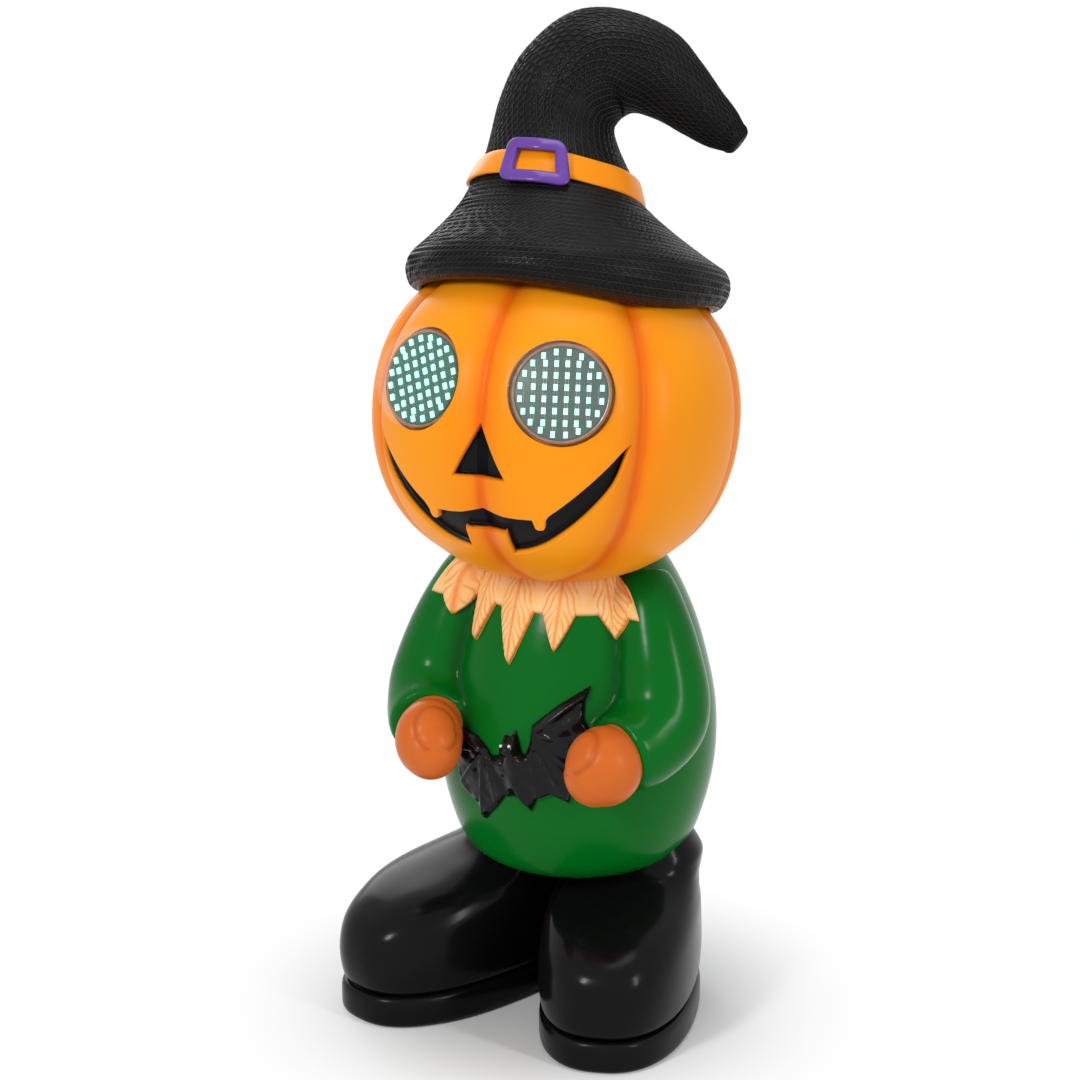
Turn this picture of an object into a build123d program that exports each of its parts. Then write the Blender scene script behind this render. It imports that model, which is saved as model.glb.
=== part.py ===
"""Standing jack-o'-lantern figure in a witch hat, with lit LED eyes, built from its separate pieces.

Millimetres, +Z up, the face looks along -Y. The origin is the centre of the bounding box, on the ground.
"""
from build123d import *
import math
import os

# ---------------------------------------------------------------- fits and walls
SEAT = 0.3            # gap between pieces that are glued or seated on each other
RUN = 0.05            # radial clearance of pins, screws and threads
SKIN = 3.5            # wall of the moulded body and sleeves

# ---------------------------------------------------------------- head
HEAD_R = 106.0        # outer radius at the ribs
HEAD_RZ = 93.3        # height above the head's widest level
HEAD_FOOT = 97.5      # depth below it
HEAD_FULL = 2.25      # exponent of the head's rounded profile, 2 is a plain ellipse
HEAD_AT = (0.0, -8.0, 371.0)
HEAD_PITCH = 10.0     # the head looks up by this much
HEAD_WALL = 8.0
RIBS = 7
GROOVE_R = 9.0        # radius of the round cutter that makes a groove between two ribs
GROOVE_OUT = 5.0      # how far outside the skin that cutter runs
GROOVE_END = 70.0     # latitude where a groove runs out
CROWN_HOLE_R = 45.0   # assembly opening under the hat
CROWN_HOLE_Z = 60.0   # height above the head's centre from which the opening is cut

# face openings, as seen from the front: x from the middle, z from the head's centre
NOSE_TOP = 16.0
NOSE_FOOT = -14.0
NOSE_HALF = 16.0
LIP_UPPER = [(0, -32.5), (6.5, -34.4), (12.7, -36.3), (29, -37), (31, -43), (35, -42.5),
             (38, -34), (57.5, -17), (76, 4)]
LIP_LOWER = [(71.6, -13.2), (64, -25), (51, -38.5), (35, -52), (23, -58.5)]
MOUTH_FOOT = -61.2
TOOTH_HALF = 12.5
TOOTH_TOP = -47.0
LINER_LIP = 5.0       # how far a liner reaches past its opening
LINER_T = 2.5

# ---------------------------------------------------------------- eyes
EYE_AT = (42.4, -95.9, 405.6)    # middle of the LED faces, on the +X side
EYE_SWING = 17.0
EYE_LIFT = 20.0
BOARD_TURN = {"left": 0.0, "right": -28.0}
LENS_R = 28.8
LENS_T = 1.4
LENS_FRONT = 5.6
LENS_SEAT = -14.0     # shoulder that the lens flange sits against
LENS_FLANGE_R = 32.2
BOSS_R = 35.5
BOSS_BACK = -22.0
CUP_PLATE_T = 2.5
CUP_BORE_R = 22.6
CUP_TUBE_R = 25.6
EAR_R = 5.0
EAR_OUT = 38.0
EAR_ANGLES = (0.0, 100.0, -100.0)
LED_W = 2.4
LED_H = 3.6
LED_T = 1.2
LED_RING = 20
LED_RING_R = 22.8
LED_PITCH_X = 6.1
LED_PITCH_Y = 6.5
LED_ROWS = (4, 6, 6, 6, 6, 4)
BOARD_R = 25.3
BOARD_T = 1.6

# ---------------------------------------------------------------- hat
HAT_AT = (0.0, 10.0, 441.0)
HAT_PITCH = 18.0
HAT_WALL = 4.5
FLOP_TURN = 20.0      # plane in which the crown curls over
RIM_AT = (-1.5, 0.0, 0.0)
RIM_LEAN = -3.0
RIM_R = 93.0
RIM_WIDE_Z = 2.0
RIM_LOW = -8.0
RIM_INNER_R = 84.0
BRIM_TOP_R = 89.5
BRIM_TOP_Z = 14.0
BRIM_CAVITY_R = 77.0
# sections of the hat: across the curl, behind it, height, radius, lean into the curl, tilt to the back
KNEE = (-7.0, 2.0, 31.0, 68.0, -3.0, 3.0)
BAND_LOW = (-14.5, 5.0, 51.0, 49.5, -3.0, 7.0)
BAND_HIGH = (-15.0, 7.0, 65.0, 44.0, 0.0, 7.0)
CROWN = [(-19.5, 9, 81, 37.5, -3, 7), (-20.5, 11, 98.5, 34.3, 8, 6), (-14.5, 12, 116, 34, 33, 4),
         (2, 12, 131.5, 33, 62, 0), (29, 12, 130, 26.8, 108, 0), (47, 12, 120.5, 20.8, 124, 0),
         (62, 12, 110, 16.5, 125, 0), (74, 12, 102.3, 13.3, 123, 0), (82, 12, 97.6, 9.5, 121, 0)]
CAVITY_STATIONS = 6   # how far up the crown its hollow runs
TIP_FILLET = 5.0
BAND_T = 3.2
BAND_W = 13.5
BUCKLE_TURN = 11.0
BUCKLE_W = 38.0
BUCKLE_H = 27.0
BUCKLE_OPEN_W = 23.0
BUCKLE_OPEN_H = 15.5
BUCKLE_T = 4.2
BUCKLE_STAND = 2.2    # how far the flat buckle stands off the tapered band

# ---------------------------------------------------------------- body
BODY_Y = 24.0
BODY = [(30, 88), (54, 92), (68, 102), (78, 121), (83.5, 144), (84.5, 166), (82.5, 190), (77.5, 214),
        (70, 240), (59, 265), (47, 284), (36, 296)]
DECK_Z = 268.0        # underside of the deck that carries the neck
# sleeve centre line on the +X side: x, y, z, radius
SLEEVE = [(51, 2, 277, 15), (57, -4, 262, 20), (66, -11, 234, 25), (72, -19, 203, 28.5),
          (68, -38, 189, 26), (60, -56, 186, 23)]
SLEEVE_HOLLOW = 5     # stations that the sleeve's hollow runs through
HAND_AT = (57.3, -68.0, 183.0)
HAND_R = 21.5
HAND_TALL = 4.0      # half the straight stretch of the fist
WRIST_R = 14.0
WRIST_BACK = 26.0
THUMB_R = 9.5
THUMB_AT = (-11.0, -11.0, 14.0)

# ---------------------------------------------------------------- collar and bat
LEAF_T = 4.0
COLLAR_LOW = 263.0
COLLAR_HIGH = 275.0
LEAF_TURNS = (-52.0, -36.0, -10.5, 14.5, 41.5)
LEAF_TIPS = (247.0, 237.0, 229.0, 239.5, 246.5)
LEAF_HALF = 12.5
YOKE_HALF = 19.0      # half width of each leaf's root, where it joins the next one
BAT_T = 6.0
BAT = [(-58, 187), (-44, 186), (-29, 184), (-22, 179), (-18, 174.5), (-13, 176), (-11, 183), (-9.5, 189),
       (-6, 187.5), (-2.5, 192.5), (0, 186), (1.5, 180), (4, 178.5), (6.5, 186), (7.4, 197), (22, 210),
       (38, 221), (35.5, 212), (36, 202), (41, 193), (50, 188), (44, 176), (43, 164), (31, 160),
       (29, 151), (19, 156), (11, 152), (7, 143.5), (0, 152), (-9, 151), (-14, 144), (-25, 131.5),
       (-30, 142), (-41, 149), (-44, 163), (-54, 171)]

# ---------------------------------------------------------------- boots
SOLE_T = 19.0
SOLE_L = 166.0
SOLE_HALF = 46.0
SOLE_ROUND = 5.0
BOOT_WALL = 4.0
HEELS = {"left": (23.0, 74.0, 13.5), "right": (-34.5, 73.0, -22.5)}
LEGS = {"left": (42.5, 29.0), "right": (-35.0, 29.0)}
# upper sections: height, back, front, half width, how far it has moved over to the leg
UPPER = [(19, -4, -160, 42, 0), (24, -1, -165, 45, 0), (40, 0, -167, 46.5, 0), (56, 0, -163, 46, 0),
         (67, -1, -151, 45, 0), (75, -2, -133, 43, 0), (82, -4, -107, 39.5, 0.25), (89, -7, -84, 37, 0.65),
         (98, -10, -73, 36, 1.0), (112, -12, -70, 33, 1.0)]
CAVITY_TOP = 80.0
FOOT_BOLT_AT = (34.0, 30.0)
FOOT_BOLT_R = 3.0
FOOT_HOLE_R = 3.3
FOOT_HEAD_R = 6.0
FOOT_HEAD_H = 4.5
FOOT_SINK = 8.0
FOOT_POST_R = 9.0
FOOT_POST_TOP = 104.0
FOOT_NUT_R = 5.8
FOOT_NUT_H = 5.0

# ---------------------------------------------------------------- neck
NECK_R = 26.0
NECK_BORE_R = 22.0
NECK_FLANGE_R = 34.0
NECK_FLANGE_T = 3.0
NECK_SEAT_Z = 297.0
NECK_BOSS_R = 38.0
NECK_NUT_R = 33.0
NECK_NUT_T = 8.0

# ---------------------------------------------------------------- battery compartment and switch
PAD_HALF = 36.0
PAD_LOW = 122.0
PAD_HIGH = 216.0
PAD_Y = 101.0
PAD_DEEP = 16.0
PAD_WALL = 7.0        # flat wall left behind the pad's face
CELL_R = 7.15
CELL_L = 49.5
CELL_NUB = 1.0
CELL_PITCH = 15.2
CELLS = 3
BAY_Z = 160.0
BAY_W = 48.0
BAY_H = 56.0
BAY_D = 18.0
BAY_WALL = 2.0
BEZEL_W = 66.0
BEZEL_H = 68.0
BEZEL_T = 2.0
DOOR_T = 2.5
DOOR_AIR = 0.4
DOOR_LAP = 2.0        # how far the door laps over the bay on each side
HINGE_R = 2.6
PIN_R = 1.0
KNUCKLE_HALF = 18.0
EAR_W = 4.0
LATCH_HALF = 4.0
LATCH_DEEP = 1.6
SMALL_SCREW_R = 1.0
SMALL_HEAD_R = 2.0
SMALL_HEAD_H = 1.5
POST_L = 10.0
POST_R = 3.0
PCB_W = 46.0
PCB_H = 44.0
PCB_T = 1.6
PCB_HOLE_X = 19.0
PCB_HOLE_Z = 18.0
PLUG_W = 7.0
PLUG_H = 8.0
PLUG_D = 6.0
PLUG_X = 12.5
PLUG_GAP = 0.6        # how far a lead's end stays outside its socket
SWITCH_Z = 203.0
SWITCH_TRAVEL = 4.0
STEM_W = 3.2
STEM_H = 3.0
STEM_OUT = 2.6
SLIDER_W = 6.0
SLIDER_H = 4.4
SLIDER_T = 3.8
SWITCH_W = 16.0
SWITCH_H = 8.4
SWITCH_D = 8.5
SWITCH_FLANGE_W = 30.0
SWITCH_FLANGE_T = 1.2
SWITCH_SCREW_X = 12.0
LEAD_D = 3.0


# ================================================================ helpers
def ball(rx, rz, foot, full):
    """A turned egg about Z, rz up and foot down; full is 2 for an ellipse and more for a fuller profile."""
    side = []
    for index in range(-6, 7):
        angle = math.radians(index * 15)
        r = rx * math.cos(angle) ** (2 / full) if abs(index) < 6 else 0
        reach = rz if index > 0 else foot
        z = reach * math.copysign(abs(math.sin(angle)) ** (2 / full), index)
        side.append((r, z))
    profile = Spline(*side, tangents=[(1, 0), (-1, 0)])
    return revolve(Plane.XZ * make_face(Curve() + [profile, Line((0, rz), (0, -foot))]), Axis.Z)


def tube(r_out, r_in, low, high):
    """A ring about Z between two heights."""
    length = high - low
    ring = Pos(0, 0, low) * extrude(Circle(r_out), length)
    if r_in > 0:
        ring -= Pos(0, 0, low - 1) * extrude(Circle(r_in), length + 2)
    return ring


def block(x0, x1, y0, y1, z0, z1):
    """A box between two corners."""
    return Pos((x0 + x1) / 2, (y0 + y1) / 2, (z0 + z1) / 2) * Box(x1 - x0, y1 - y0, z1 - z0)


def flip(shape):
    """The same shape on the other side of the middle plane."""
    return mirror(shape, about=Plane.YZ)


def along_y(shape_xy, y0, y1):
    """A flat outline given as (x, z), extruded from y0 to y1."""
    face = Plane((0, y0, 0), x_dir=(1, 0, 0), z_dir=(0, -1, 0)) * shape_xy
    return extrude(face, y1 - y0, dir=(0, 1, 0))


def outline(points):
    """A face from a list of corner points."""
    return make_face(Polyline(*points, close=True))


def cable(name, points, diameter):
    """A lead along straight runs joined by the widest arcs that the runs allow."""
    pts = [Vector(*p) for p in points]
    radii = []
    for before, corner, after in zip(pts, pts[1:], pts[2:]):
        first = corner - before
        second = after - corner
        turn = math.radians(first.get_angle(second))
        radii.append(0.45 * min(first.length, second.length) / math.tan(turn / 2))
    path = FilletPolyline(*points, radius=radii)
    start = Plane(origin=pts[0], z_dir=pts[1] - pts[0])
    lead = sweep(start * Circle(diameter / 2), path=path)
    wanted = math.pi * diameter ** 2 / 4 * path.length
    print(f"{name}: length {path.length:.1f} mm, smallest arc {min(radii):.1f} mm,",
          f"volume against section times length {lead.volume / wanted:.4f}")
    return lead


# ================================================================ places
HEAD = Pos(*HEAD_AT) * Rot(-HEAD_PITCH, 0, 0)
HAT = Pos(*HAT_AT) * Rot(-HAT_PITCH, 0, 0)


def eye_frame(turn=0.0):
    """Frame of the +X eye: +Z out of the face, +Y up, about the middle of the LED faces."""
    swing = math.radians(EYE_SWING)
    lift = math.radians(EYE_LIFT)
    out = (math.sin(swing) * math.cos(lift), -math.cos(swing) * math.cos(lift), math.sin(lift))
    across = (math.cos(swing), math.sin(swing), 0)
    return Plane(origin=EYE_AT, x_dir=across, z_dir=out).location * Rot(0, 0, turn)


EYE = eye_frame()


# ================================================================ head
def head_ball(grow=0.0):
    """The plain egg that the ribbed head is cut from, larger or smaller by grow."""
    return HEAD * ball(HEAD_R + grow, HEAD_RZ + grow, HEAD_FOOT + grow, HEAD_FULL)


def groove_arc(reach):
    """The upper half of a groove's cutter, over a half head that is reach tall."""
    rx = HEAD_R + GROOVE_OUT
    rz = reach + GROOVE_OUT
    end = math.radians(GROOVE_END)
    tip = (rx * math.cos(end), rz * math.sin(end))
    centre = (rx ** 2 - tip[0] ** 2 - tip[1] ** 2) / (2 * (rx - tip[0]))
    axis = Axis((centre, 0, 0), (0, 1, 0))
    sweep_half = math.degrees(math.atan2(tip[1], tip[0] - centre))
    return revolve(Plane.XY * (Pos(rx, 0) * Circle(GROOVE_R)), axis, revolution_arc=sweep_half)


def groove_cutter():
    """A round tube that follows the head from near the bottom to near the top."""
    return groove_arc(HEAD_RZ) + mirror(groove_arc(HEAD_FOOT), about=Plane.XY)


def mouth_face():
    """Outline of the mouth around its middle tooth, symmetric about the middle."""
    right = LIP_UPPER + LIP_LOWER + [(TOOTH_HALF, MOUTH_FOOT), (TOOTH_HALF, TOOTH_TOP)]
    left = [(-x, z) for x, z in reversed(right[1:])]
    return outline([(x, z + HEAD_AT[2]) for x, z in right + left])


def nose_face():
    """Outline of the three-cornered nose."""
    z = HEAD_AT[2]
    return outline([(0, z + NOSE_TOP), (NOSE_HALF, z + NOSE_FOOT), (-NOSE_HALF, z + NOSE_FOOT)])


def ears(radius, low, high):
    """The screw ears round an eye, kept off the side next to the other eye."""
    group = []
    for angle in EAR_ANGLES:
        group.append(Rot(0, 0, angle) * Pos(EAR_OUT, 0, 0) * tube(radius, 0, low, high))
    return group


def eye_boss():
    """The round block inside the head that the eye is screwed to, before it is bored."""
    boss = tube(BOSS_R, 0, BOSS_BACK, LENS_FRONT)
    for ear in ears(EAR_R, BOSS_BACK, LENS_SEAT + 2):
        boss += ear
    return EYE * boss


def eye_bore():
    """What is taken out of the head for one eye."""
    bore = tube(LENS_R + SEAT, 0, LENS_SEAT - 1, 30)
    bore += tube(LENS_FLANGE_R + SEAT, 0, BOSS_BACK - 12, LENS_SEAT)
    bore += tube(BOSS_R + SEAT, 0, BOSS_BACK - 12, BOSS_BACK)
    for hole in ears(SMALL_SCREW_R + RUN, BOSS_BACK - 1, BOSS_BACK + 6):
        bore += hole
    for room in ears(EAR_R + SEAT, BOSS_BACK - 12, BOSS_BACK):
        bore += room
    return EYE * bore


def make_head():
    """The hollow ribbed head with its eye bosses, face openings and neck seat."""
    outer = head_ball()
    inner = head_ball(-HEAD_WALL)
    shell = outer - inner
    boss = eye_boss()
    seat = Pos(0, BODY_Y, 0) * tube(NECK_BOSS_R, 0, 250, NECK_SEAT_Z)
    shell += (boss & outer) + (flip(boss) & outer)
    shell += seat & outer
    cutter = groove_cutter()
    for rib in range(RIBS):
        shell -= HEAD * Rot(0, 0, -90 + rib * 360 / RIBS) * cutter
    bore = eye_bore()
    shell -= bore
    shell -= flip(bore)
    shell -= along_y(mouth_face(), -130, -40)
    shell -= along_y(nose_face(), -140, -60)
    shell -= HEAD * tube(CROWN_HOLE_R, 0, CROWN_HOLE_Z, HEAD_RZ + 5)
    shell -= Pos(0, BODY_Y, 0) * tube(NECK_R + SEAT, 0, 250, NECK_SEAT_Z + 5)
    return shell - Pos(0, BODY_Y, 0) * tube(NECK_FLANGE_R + SEAT, 0, NECK_SEAT_Z, NECK_SEAT_Z + 20)


def make_liner(face, front):
    """A thin dark sheet behind one face opening, following the inside of the head."""
    sheet = head_ball(-HEAD_WALL - SEAT) - head_ball(-HEAD_WALL - SEAT - LINER_T)
    wide = offset(face, amount=LINER_LIP, kind=Kind.ARC)
    return sheet & along_y(wide, front, -30)


# ================================================================ eyes
def make_lens():
    """The clear cup over the LEDs, with the flange that holds it in the head."""
    cup = tube(LENS_R, 0, LENS_SEAT, LENS_FRONT)
    cup = fillet(cup.edges().group_by(Axis.Z)[-1], 1.0)
    cup += tube(LENS_FLANGE_R, 0, LENS_SEAT - LENS_T, LENS_SEAT)
    return EYE * (cup - tube(LENS_R - LENS_T, 0, LENS_SEAT - LENS_T - 1, LENS_FRONT - LENS_T))


def led_places():
    """Middle of each LED on the board: an outer ring round a grid."""
    places = []
    for index in range(LED_RING):
        angle = math.radians((index + 0.5) * 360 / LED_RING)
        places.append((LED_RING_R * math.cos(angle), LED_RING_R * math.sin(angle)))
    for row, count in enumerate(LED_ROWS):
        y = (row - (len(LED_ROWS) - 1) / 2) * LED_PITCH_Y
        for column in range(count):
            places.append(((column - (count - 1) / 2) * LED_PITCH_X, y))
    return places


def make_leds(turn):
    """The LED packages of one eye, each its own solid."""
    led = Box(LED_W, LED_H, LED_T)
    return [eye_frame(turn) * Pos(x, y, -LED_T / 2) * led for x, y in led_places()]


def make_eye_board():
    """The round circuit board of one eye."""
    return EYE * tube(BOARD_R, 0, -LED_T - BOARD_T, -LED_T)


def make_eye_cup():
    """The cup behind the board: its tube carries the board and its step clamps the lens."""
    cup = tube(BOSS_R, 0, BOSS_BACK - CUP_PLATE_T, BOSS_BACK)
    for ear in ears(EAR_R, BOSS_BACK - CUP_PLATE_T, BOSS_BACK):
        cup += ear
    cup += tube(LENS_FLANGE_R, CUP_BORE_R, BOSS_BACK, LENS_SEAT - LENS_T)
    cup += tube(CUP_TUBE_R, CUP_BORE_R, BOSS_BACK, -LED_T - BOARD_T)
    cup -= tube(LEAD_D / 2 + SEAT, 0, BOSS_BACK - CUP_PLATE_T - 1, BOSS_BACK + 1)
    for hole in ears(SMALL_SCREW_R + RUN, BOSS_BACK - CUP_PLATE_T - 1, BOSS_BACK + 1):
        cup -= hole
    return EYE * cup


def make_eye_screws():
    """The three screws of one eye cup."""
    back = BOSS_BACK - CUP_PLATE_T
    shanks = ears(SMALL_SCREW_R, back, BOSS_BACK + 5)
    heads = ears(SMALL_HEAD_R, back - SMALL_HEAD_H, back)
    return [EYE * (shank + head) for shank, head in zip(shanks, heads)]


# ================================================================ hat
def hat_place(station):
    """Frame of one section of the hat, with +Z along the line that the crown follows."""
    across, behind, up, _, lean, back = station
    centre = (Rot(0, 0, FLOP_TURN) * Pos(across, behind, up)).position
    return Pos(*centre) * Rot(-back, 0, 0) * Rot(0, 0, FLOP_TURN) * Rot(0, lean, 0)


def hat_disc(station, grow=0.0):
    """One round section of the hat, larger or smaller by grow."""
    return hat_place(station) * Rot(0, 0, 90) * Circle(station[3] + grow)


def brim_disc(radius, height):
    """A level disc in the brim's own frame."""
    return brim_place() * Pos(0, 0, height) * Rot(0, 0, 90) * Circle(radius)


def brim_place():
    """Frame of the brim, which leans a little away from the curl."""
    return hat_place((*RIM_AT, RIM_R, RIM_LEAN, 0.0))


def make_brim():
    """The rolled brim as a turned solid."""
    profile = Curve() + [
        Line((0, RIM_LOW), (RIM_INNER_R, RIM_LOW)),
        ThreePointArc((RIM_INNER_R, RIM_LOW), (RIM_R, RIM_WIDE_Z), (BRIM_TOP_R, BRIM_TOP_Z)),
        Line((BRIM_TOP_R, BRIM_TOP_Z), (0, BRIM_TOP_Z)),
        Line((0, BRIM_TOP_Z), (0, RIM_LOW)),
    ]
    return brim_place() * revolve(Plane.XZ * make_face(profile), Axis.Z)


def make_hat():
    """The hollow hat: brim, cone, the straight stretch under the band, and the curled crown."""
    hat = make_brim()
    hat += loft([brim_disc(BRIM_TOP_R, BRIM_TOP_Z), hat_disc(KNEE)], ruled=True)
    hat += loft([hat_disc(KNEE), hat_disc(BAND_LOW)], ruled=True)
    hat += loft([hat_disc(BAND_LOW), hat_disc(BAND_HIGH)], ruled=True)
    curl = loft([hat_disc(station) for station in [BAND_HIGH] + CROWN])
    tip = hat_disc(CROWN[-1]).center()
    end = curl.faces().sort_by_distance(tip)[0]
    hat += fillet(end.edges(), TIP_FILLET)
    low = brim_disc(BRIM_CAVITY_R, RIM_LOW - 1)
    top = brim_disc(BRIM_CAVITY_R, BRIM_TOP_Z)
    hollow = loft([low, top], ruled=True)
    hollow += loft([top, hat_disc(KNEE, -HAT_WALL)], ruled=True)
    hollow += loft([hat_disc(KNEE, -HAT_WALL), hat_disc(BAND_LOW, -HAT_WALL)], ruled=True)
    hollow += loft([hat_disc(BAND_LOW, -HAT_WALL), hat_disc(BAND_HIGH, -HAT_WALL)], ruled=True)
    inside = [BAND_HIGH] + CROWN[:CAVITY_STATIONS]
    hollow += loft([hat_disc(station, -HAT_WALL) for station in inside])
    return HAT * (hat - hollow) - head_ball(SEAT)


def band_station(share):
    """The section of the crown at a share of the way up the band's straight stretch."""
    return tuple(low + (high - low) * share for low, high in zip(BAND_LOW, BAND_HIGH))


def make_band():
    """The hatband, a ring that follows the crown."""
    share = 0.5 - BAND_W / 2 / (BAND_HIGH[2] - BAND_LOW[2])
    outer = loft([hat_disc(band_station(end), BAND_T) for end in (share, 1 - share)], ruled=True)
    bore = loft([hat_disc(end, SEAT) for end in (BAND_LOW, BAND_HIGH)], ruled=True)
    return HAT * (outer - bore)


def make_buckle():
    """The square buckle, bent to the band."""
    mid_r = band_station(0.5)[3]
    slope = math.degrees(math.atan2(BAND_LOW[3] - BAND_HIGH[3], BAND_HIGH[2] - BAND_LOW[2]))
    inner = mid_r + BAND_T + SEAT + BUCKLE_H / 2 * math.sin(math.radians(slope)) * 0.5
    ring = tube(inner + BUCKLE_T, inner, -BUCKLE_H / 2, BUCKLE_H / 2)
    reach = inner + BUCKLE_T
    frame = ring & block(-BUCKLE_W / 2, BUCKLE_W / 2, -reach - 1, -inner / 2, -BUCKLE_H, BUCKLE_H)
    half_w = BUCKLE_OPEN_W / 2
    half_h = BUCKLE_OPEN_H / 2
    frame -= block(-half_w, half_w, -reach - 2, 0, -half_h, half_h)
    middle = HAT * hat_place(band_station(0.5))
    return middle * Rot(0, 0, BUCKLE_TURN - FLOP_TURN) * Pos(0, -BUCKLE_STAND, 0) * frame


# ================================================================ body
def body_egg(grow=0.0, ceiling=None):
    """The egg-shaped trunk as a turned solid, larger or smaller by grow."""
    points = [(r + grow, z) for r, z in BODY]
    low = BODY[0][1] - grow
    high = BODY[-1][1] + grow
    points = [(max(points[0][0] - 8, 5), low)] + points[1:-1] + [(points[-1][0], high)]
    side = Spline(*points)
    foot = Line((0, low), points[0])
    profile = Curve() + [foot, side, Line(points[-1], (0, high)), Line((0, high), (0, low))]
    egg = Pos(0, BODY_Y, 0) * revolve(Plane.XZ * make_face(profile), Axis.Z)
    if ceiling is not None:
        egg -= block(-200, 200, -200, 200, ceiling, 400)
    return egg


def sleeve(grow=0.0, stations=None):
    """The +X sleeve as a loft of round sections, larger or smaller by grow."""
    line = SLEEVE[:stations]
    discs = []
    for index, (x, y, z, radius) in enumerate(line):
        before = Vector(*line[max(index - 1, 0)][:3])
        after = Vector(*line[min(index + 1, len(line) - 1)][:3])
        plane = Plane(origin=(x, y, z), x_dir=Vector(0, 0, 1).cross(after - before) + Vector(0.3, 0, 0),
                      z_dir=after - before)
        discs.append(plane * Circle(radius + grow))
    return loft(discs)


def hand_solid(grow=0.0):
    """The +X hand with its thumb and the wrist that plugs into the sleeve."""
    hand = tube(HAND_R + grow, 0, -HAND_TALL, HAND_TALL)
    for end in (-HAND_TALL, HAND_TALL):
        hand += Pos(0, 0, end) * Sphere(HAND_R + grow)
    hand = Pos(*HAND_AT) * hand
    plane = Plane(origin=Vector(*HAND_AT), z_dir=Vector(*SLEEVE[-2][:3]) - Vector(*HAND_AT))
    hand += extrude(plane * Circle(WRIST_R + grow), WRIST_BACK + grow)
    thumb = Pos(*(a + b for a, b in zip(HAND_AT, THUMB_AT))) * Sphere(THUMB_R + grow)
    return hand + thumb


def pad_block(y0, y1, margin=0.0):
    """The rectangular region of the back that carries the battery bezel and the switch."""
    return block(-PAD_HALF - margin, PAD_HALF + margin, y0, y1, PAD_LOW - margin, PAD_HIGH + margin)


def make_body():
    """The hollow trunk with both sleeves, the pad at the back, the deck and the floor posts."""
    arm = sleeve()
    outer = body_egg() + arm + flip(arm)
    outer -= pad_block(PAD_Y - PAD_DEEP, PAD_Y + 30)
    outer += pad_block(PAD_Y - PAD_DEEP, PAD_Y)
    hollow = body_egg(-SKIN, DECK_Z) - pad_block(PAD_Y - PAD_WALL, PAD_Y + 30, 6)
    for x in (-FOOT_BOLT_AT[0], FOOT_BOLT_AT[0]):
        hollow -= Pos(x, FOOT_BOLT_AT[1], 0) * tube(FOOT_POST_R, 0, 60, FOOT_POST_TOP)
    inside = sleeve(-SKIN, SLEEVE_HOLLOW) - block(-200, 200, -200, 200, DECK_Z, 400)
    body = outer - hollow
    body -= inside
    body -= flip(inside)
    body -= head_ball(SEAT + 0.2)
    body -= Pos(0, BODY_Y, 0) * tube(NECK_R + SEAT, 0, DECK_Z - 5, 320)
    grip = hand_solid(SEAT)
    body -= grip
    body -= flip(grip)
    half_w = BAY_W / 2 + BAY_WALL + SEAT
    half_h = BAY_H / 2 + BAY_WALL + SEAT
    body -= block(-half_w, half_w, PAD_Y - 20, PAD_Y + 5, BAY_Z - half_h, BAY_Z + half_h)
    slot = STEM_W / 2 + SWITCH_TRAVEL / 2 + DOOR_AIR
    body -= block(-slot, slot, PAD_Y - 10, PAD_Y + 5, SWITCH_Z - STEM_H / 2 - DOOR_AIR,
                  SWITCH_Z + STEM_H / 2 + DOOR_AIR)
    for x, z in bezel_screw_places():
        body -= Pos(x, PAD_Y - 12, z) * Rot(-90, 0, 0) * tube(SMALL_SCREW_R + RUN, 0, 0, 20)
    for x in (-SWITCH_SCREW_X, SWITCH_SCREW_X):
        body -= Pos(x, PAD_Y - 12, SWITCH_Z) * Rot(-90, 0, 0) * tube(SMALL_SCREW_R + RUN, 0, 0, 11)
    for x in (-FOOT_BOLT_AT[0], FOOT_BOLT_AT[0]):
        body -= Pos(x, FOOT_BOLT_AT[1], 0) * tube(FOOT_HOLE_R, 0, 60, FOOT_POST_TOP + 5)
    return body


def make_neck():
    """The threaded neck tube: its flange holds the head down, and the nut pulls it onto the deck."""
    low = DECK_Z - NECK_NUT_T - 2
    neck = tube(NECK_R, NECK_BORE_R, low, NECK_SEAT_Z + NECK_FLANGE_T)
    neck += tube(NECK_FLANGE_R, NECK_BORE_R, NECK_SEAT_Z, NECK_SEAT_Z + NECK_FLANGE_T)
    nut = tube(NECK_NUT_R, NECK_R + RUN, DECK_Z - NECK_NUT_T, DECK_Z)
    at = Pos(0, BODY_Y, 0)
    return at * neck, at * nut


def make_collar():
    """The ring of five pointed leaves that lies on the shoulders under the chin."""
    arm = sleeve(SEAT + LEAF_T)
    under = sleeve(SEAT)
    sheet = body_egg(SEAT + LEAF_T) + arm + flip(arm) - body_egg(SEAT) - under - flip(under)
    leaves = []
    for turn, tip in zip(LEAF_TURNS, LEAF_TIPS):
        half = LEAF_HALF
        drop = COLLAR_LOW - tip
        right = [(0, tip), (half * 0.72, COLLAR_LOW - drop * 0.6), (half, COLLAR_LOW - drop * 0.25),
                 (half, COLLAR_LOW + 1), (YOKE_HALF, COLLAR_LOW + 4), (YOKE_HALF, COLLAR_HIGH)]
        leaf = outline(right + [(-x, z) for x, z in reversed(right[1:])])
        prism = Pos(0, BODY_Y, 0) * Rot(0, 0, turn) * along_y(leaf, -120, 0)
        leaves.append(sheet & prism)
    collar = leaves[0]
    for leaf in leaves[1:]:
        collar += leaf
    collar -= head_ball(SEAT + 0.2)
    return max(collar.solids(), key=lambda solid: solid.volume)


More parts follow.
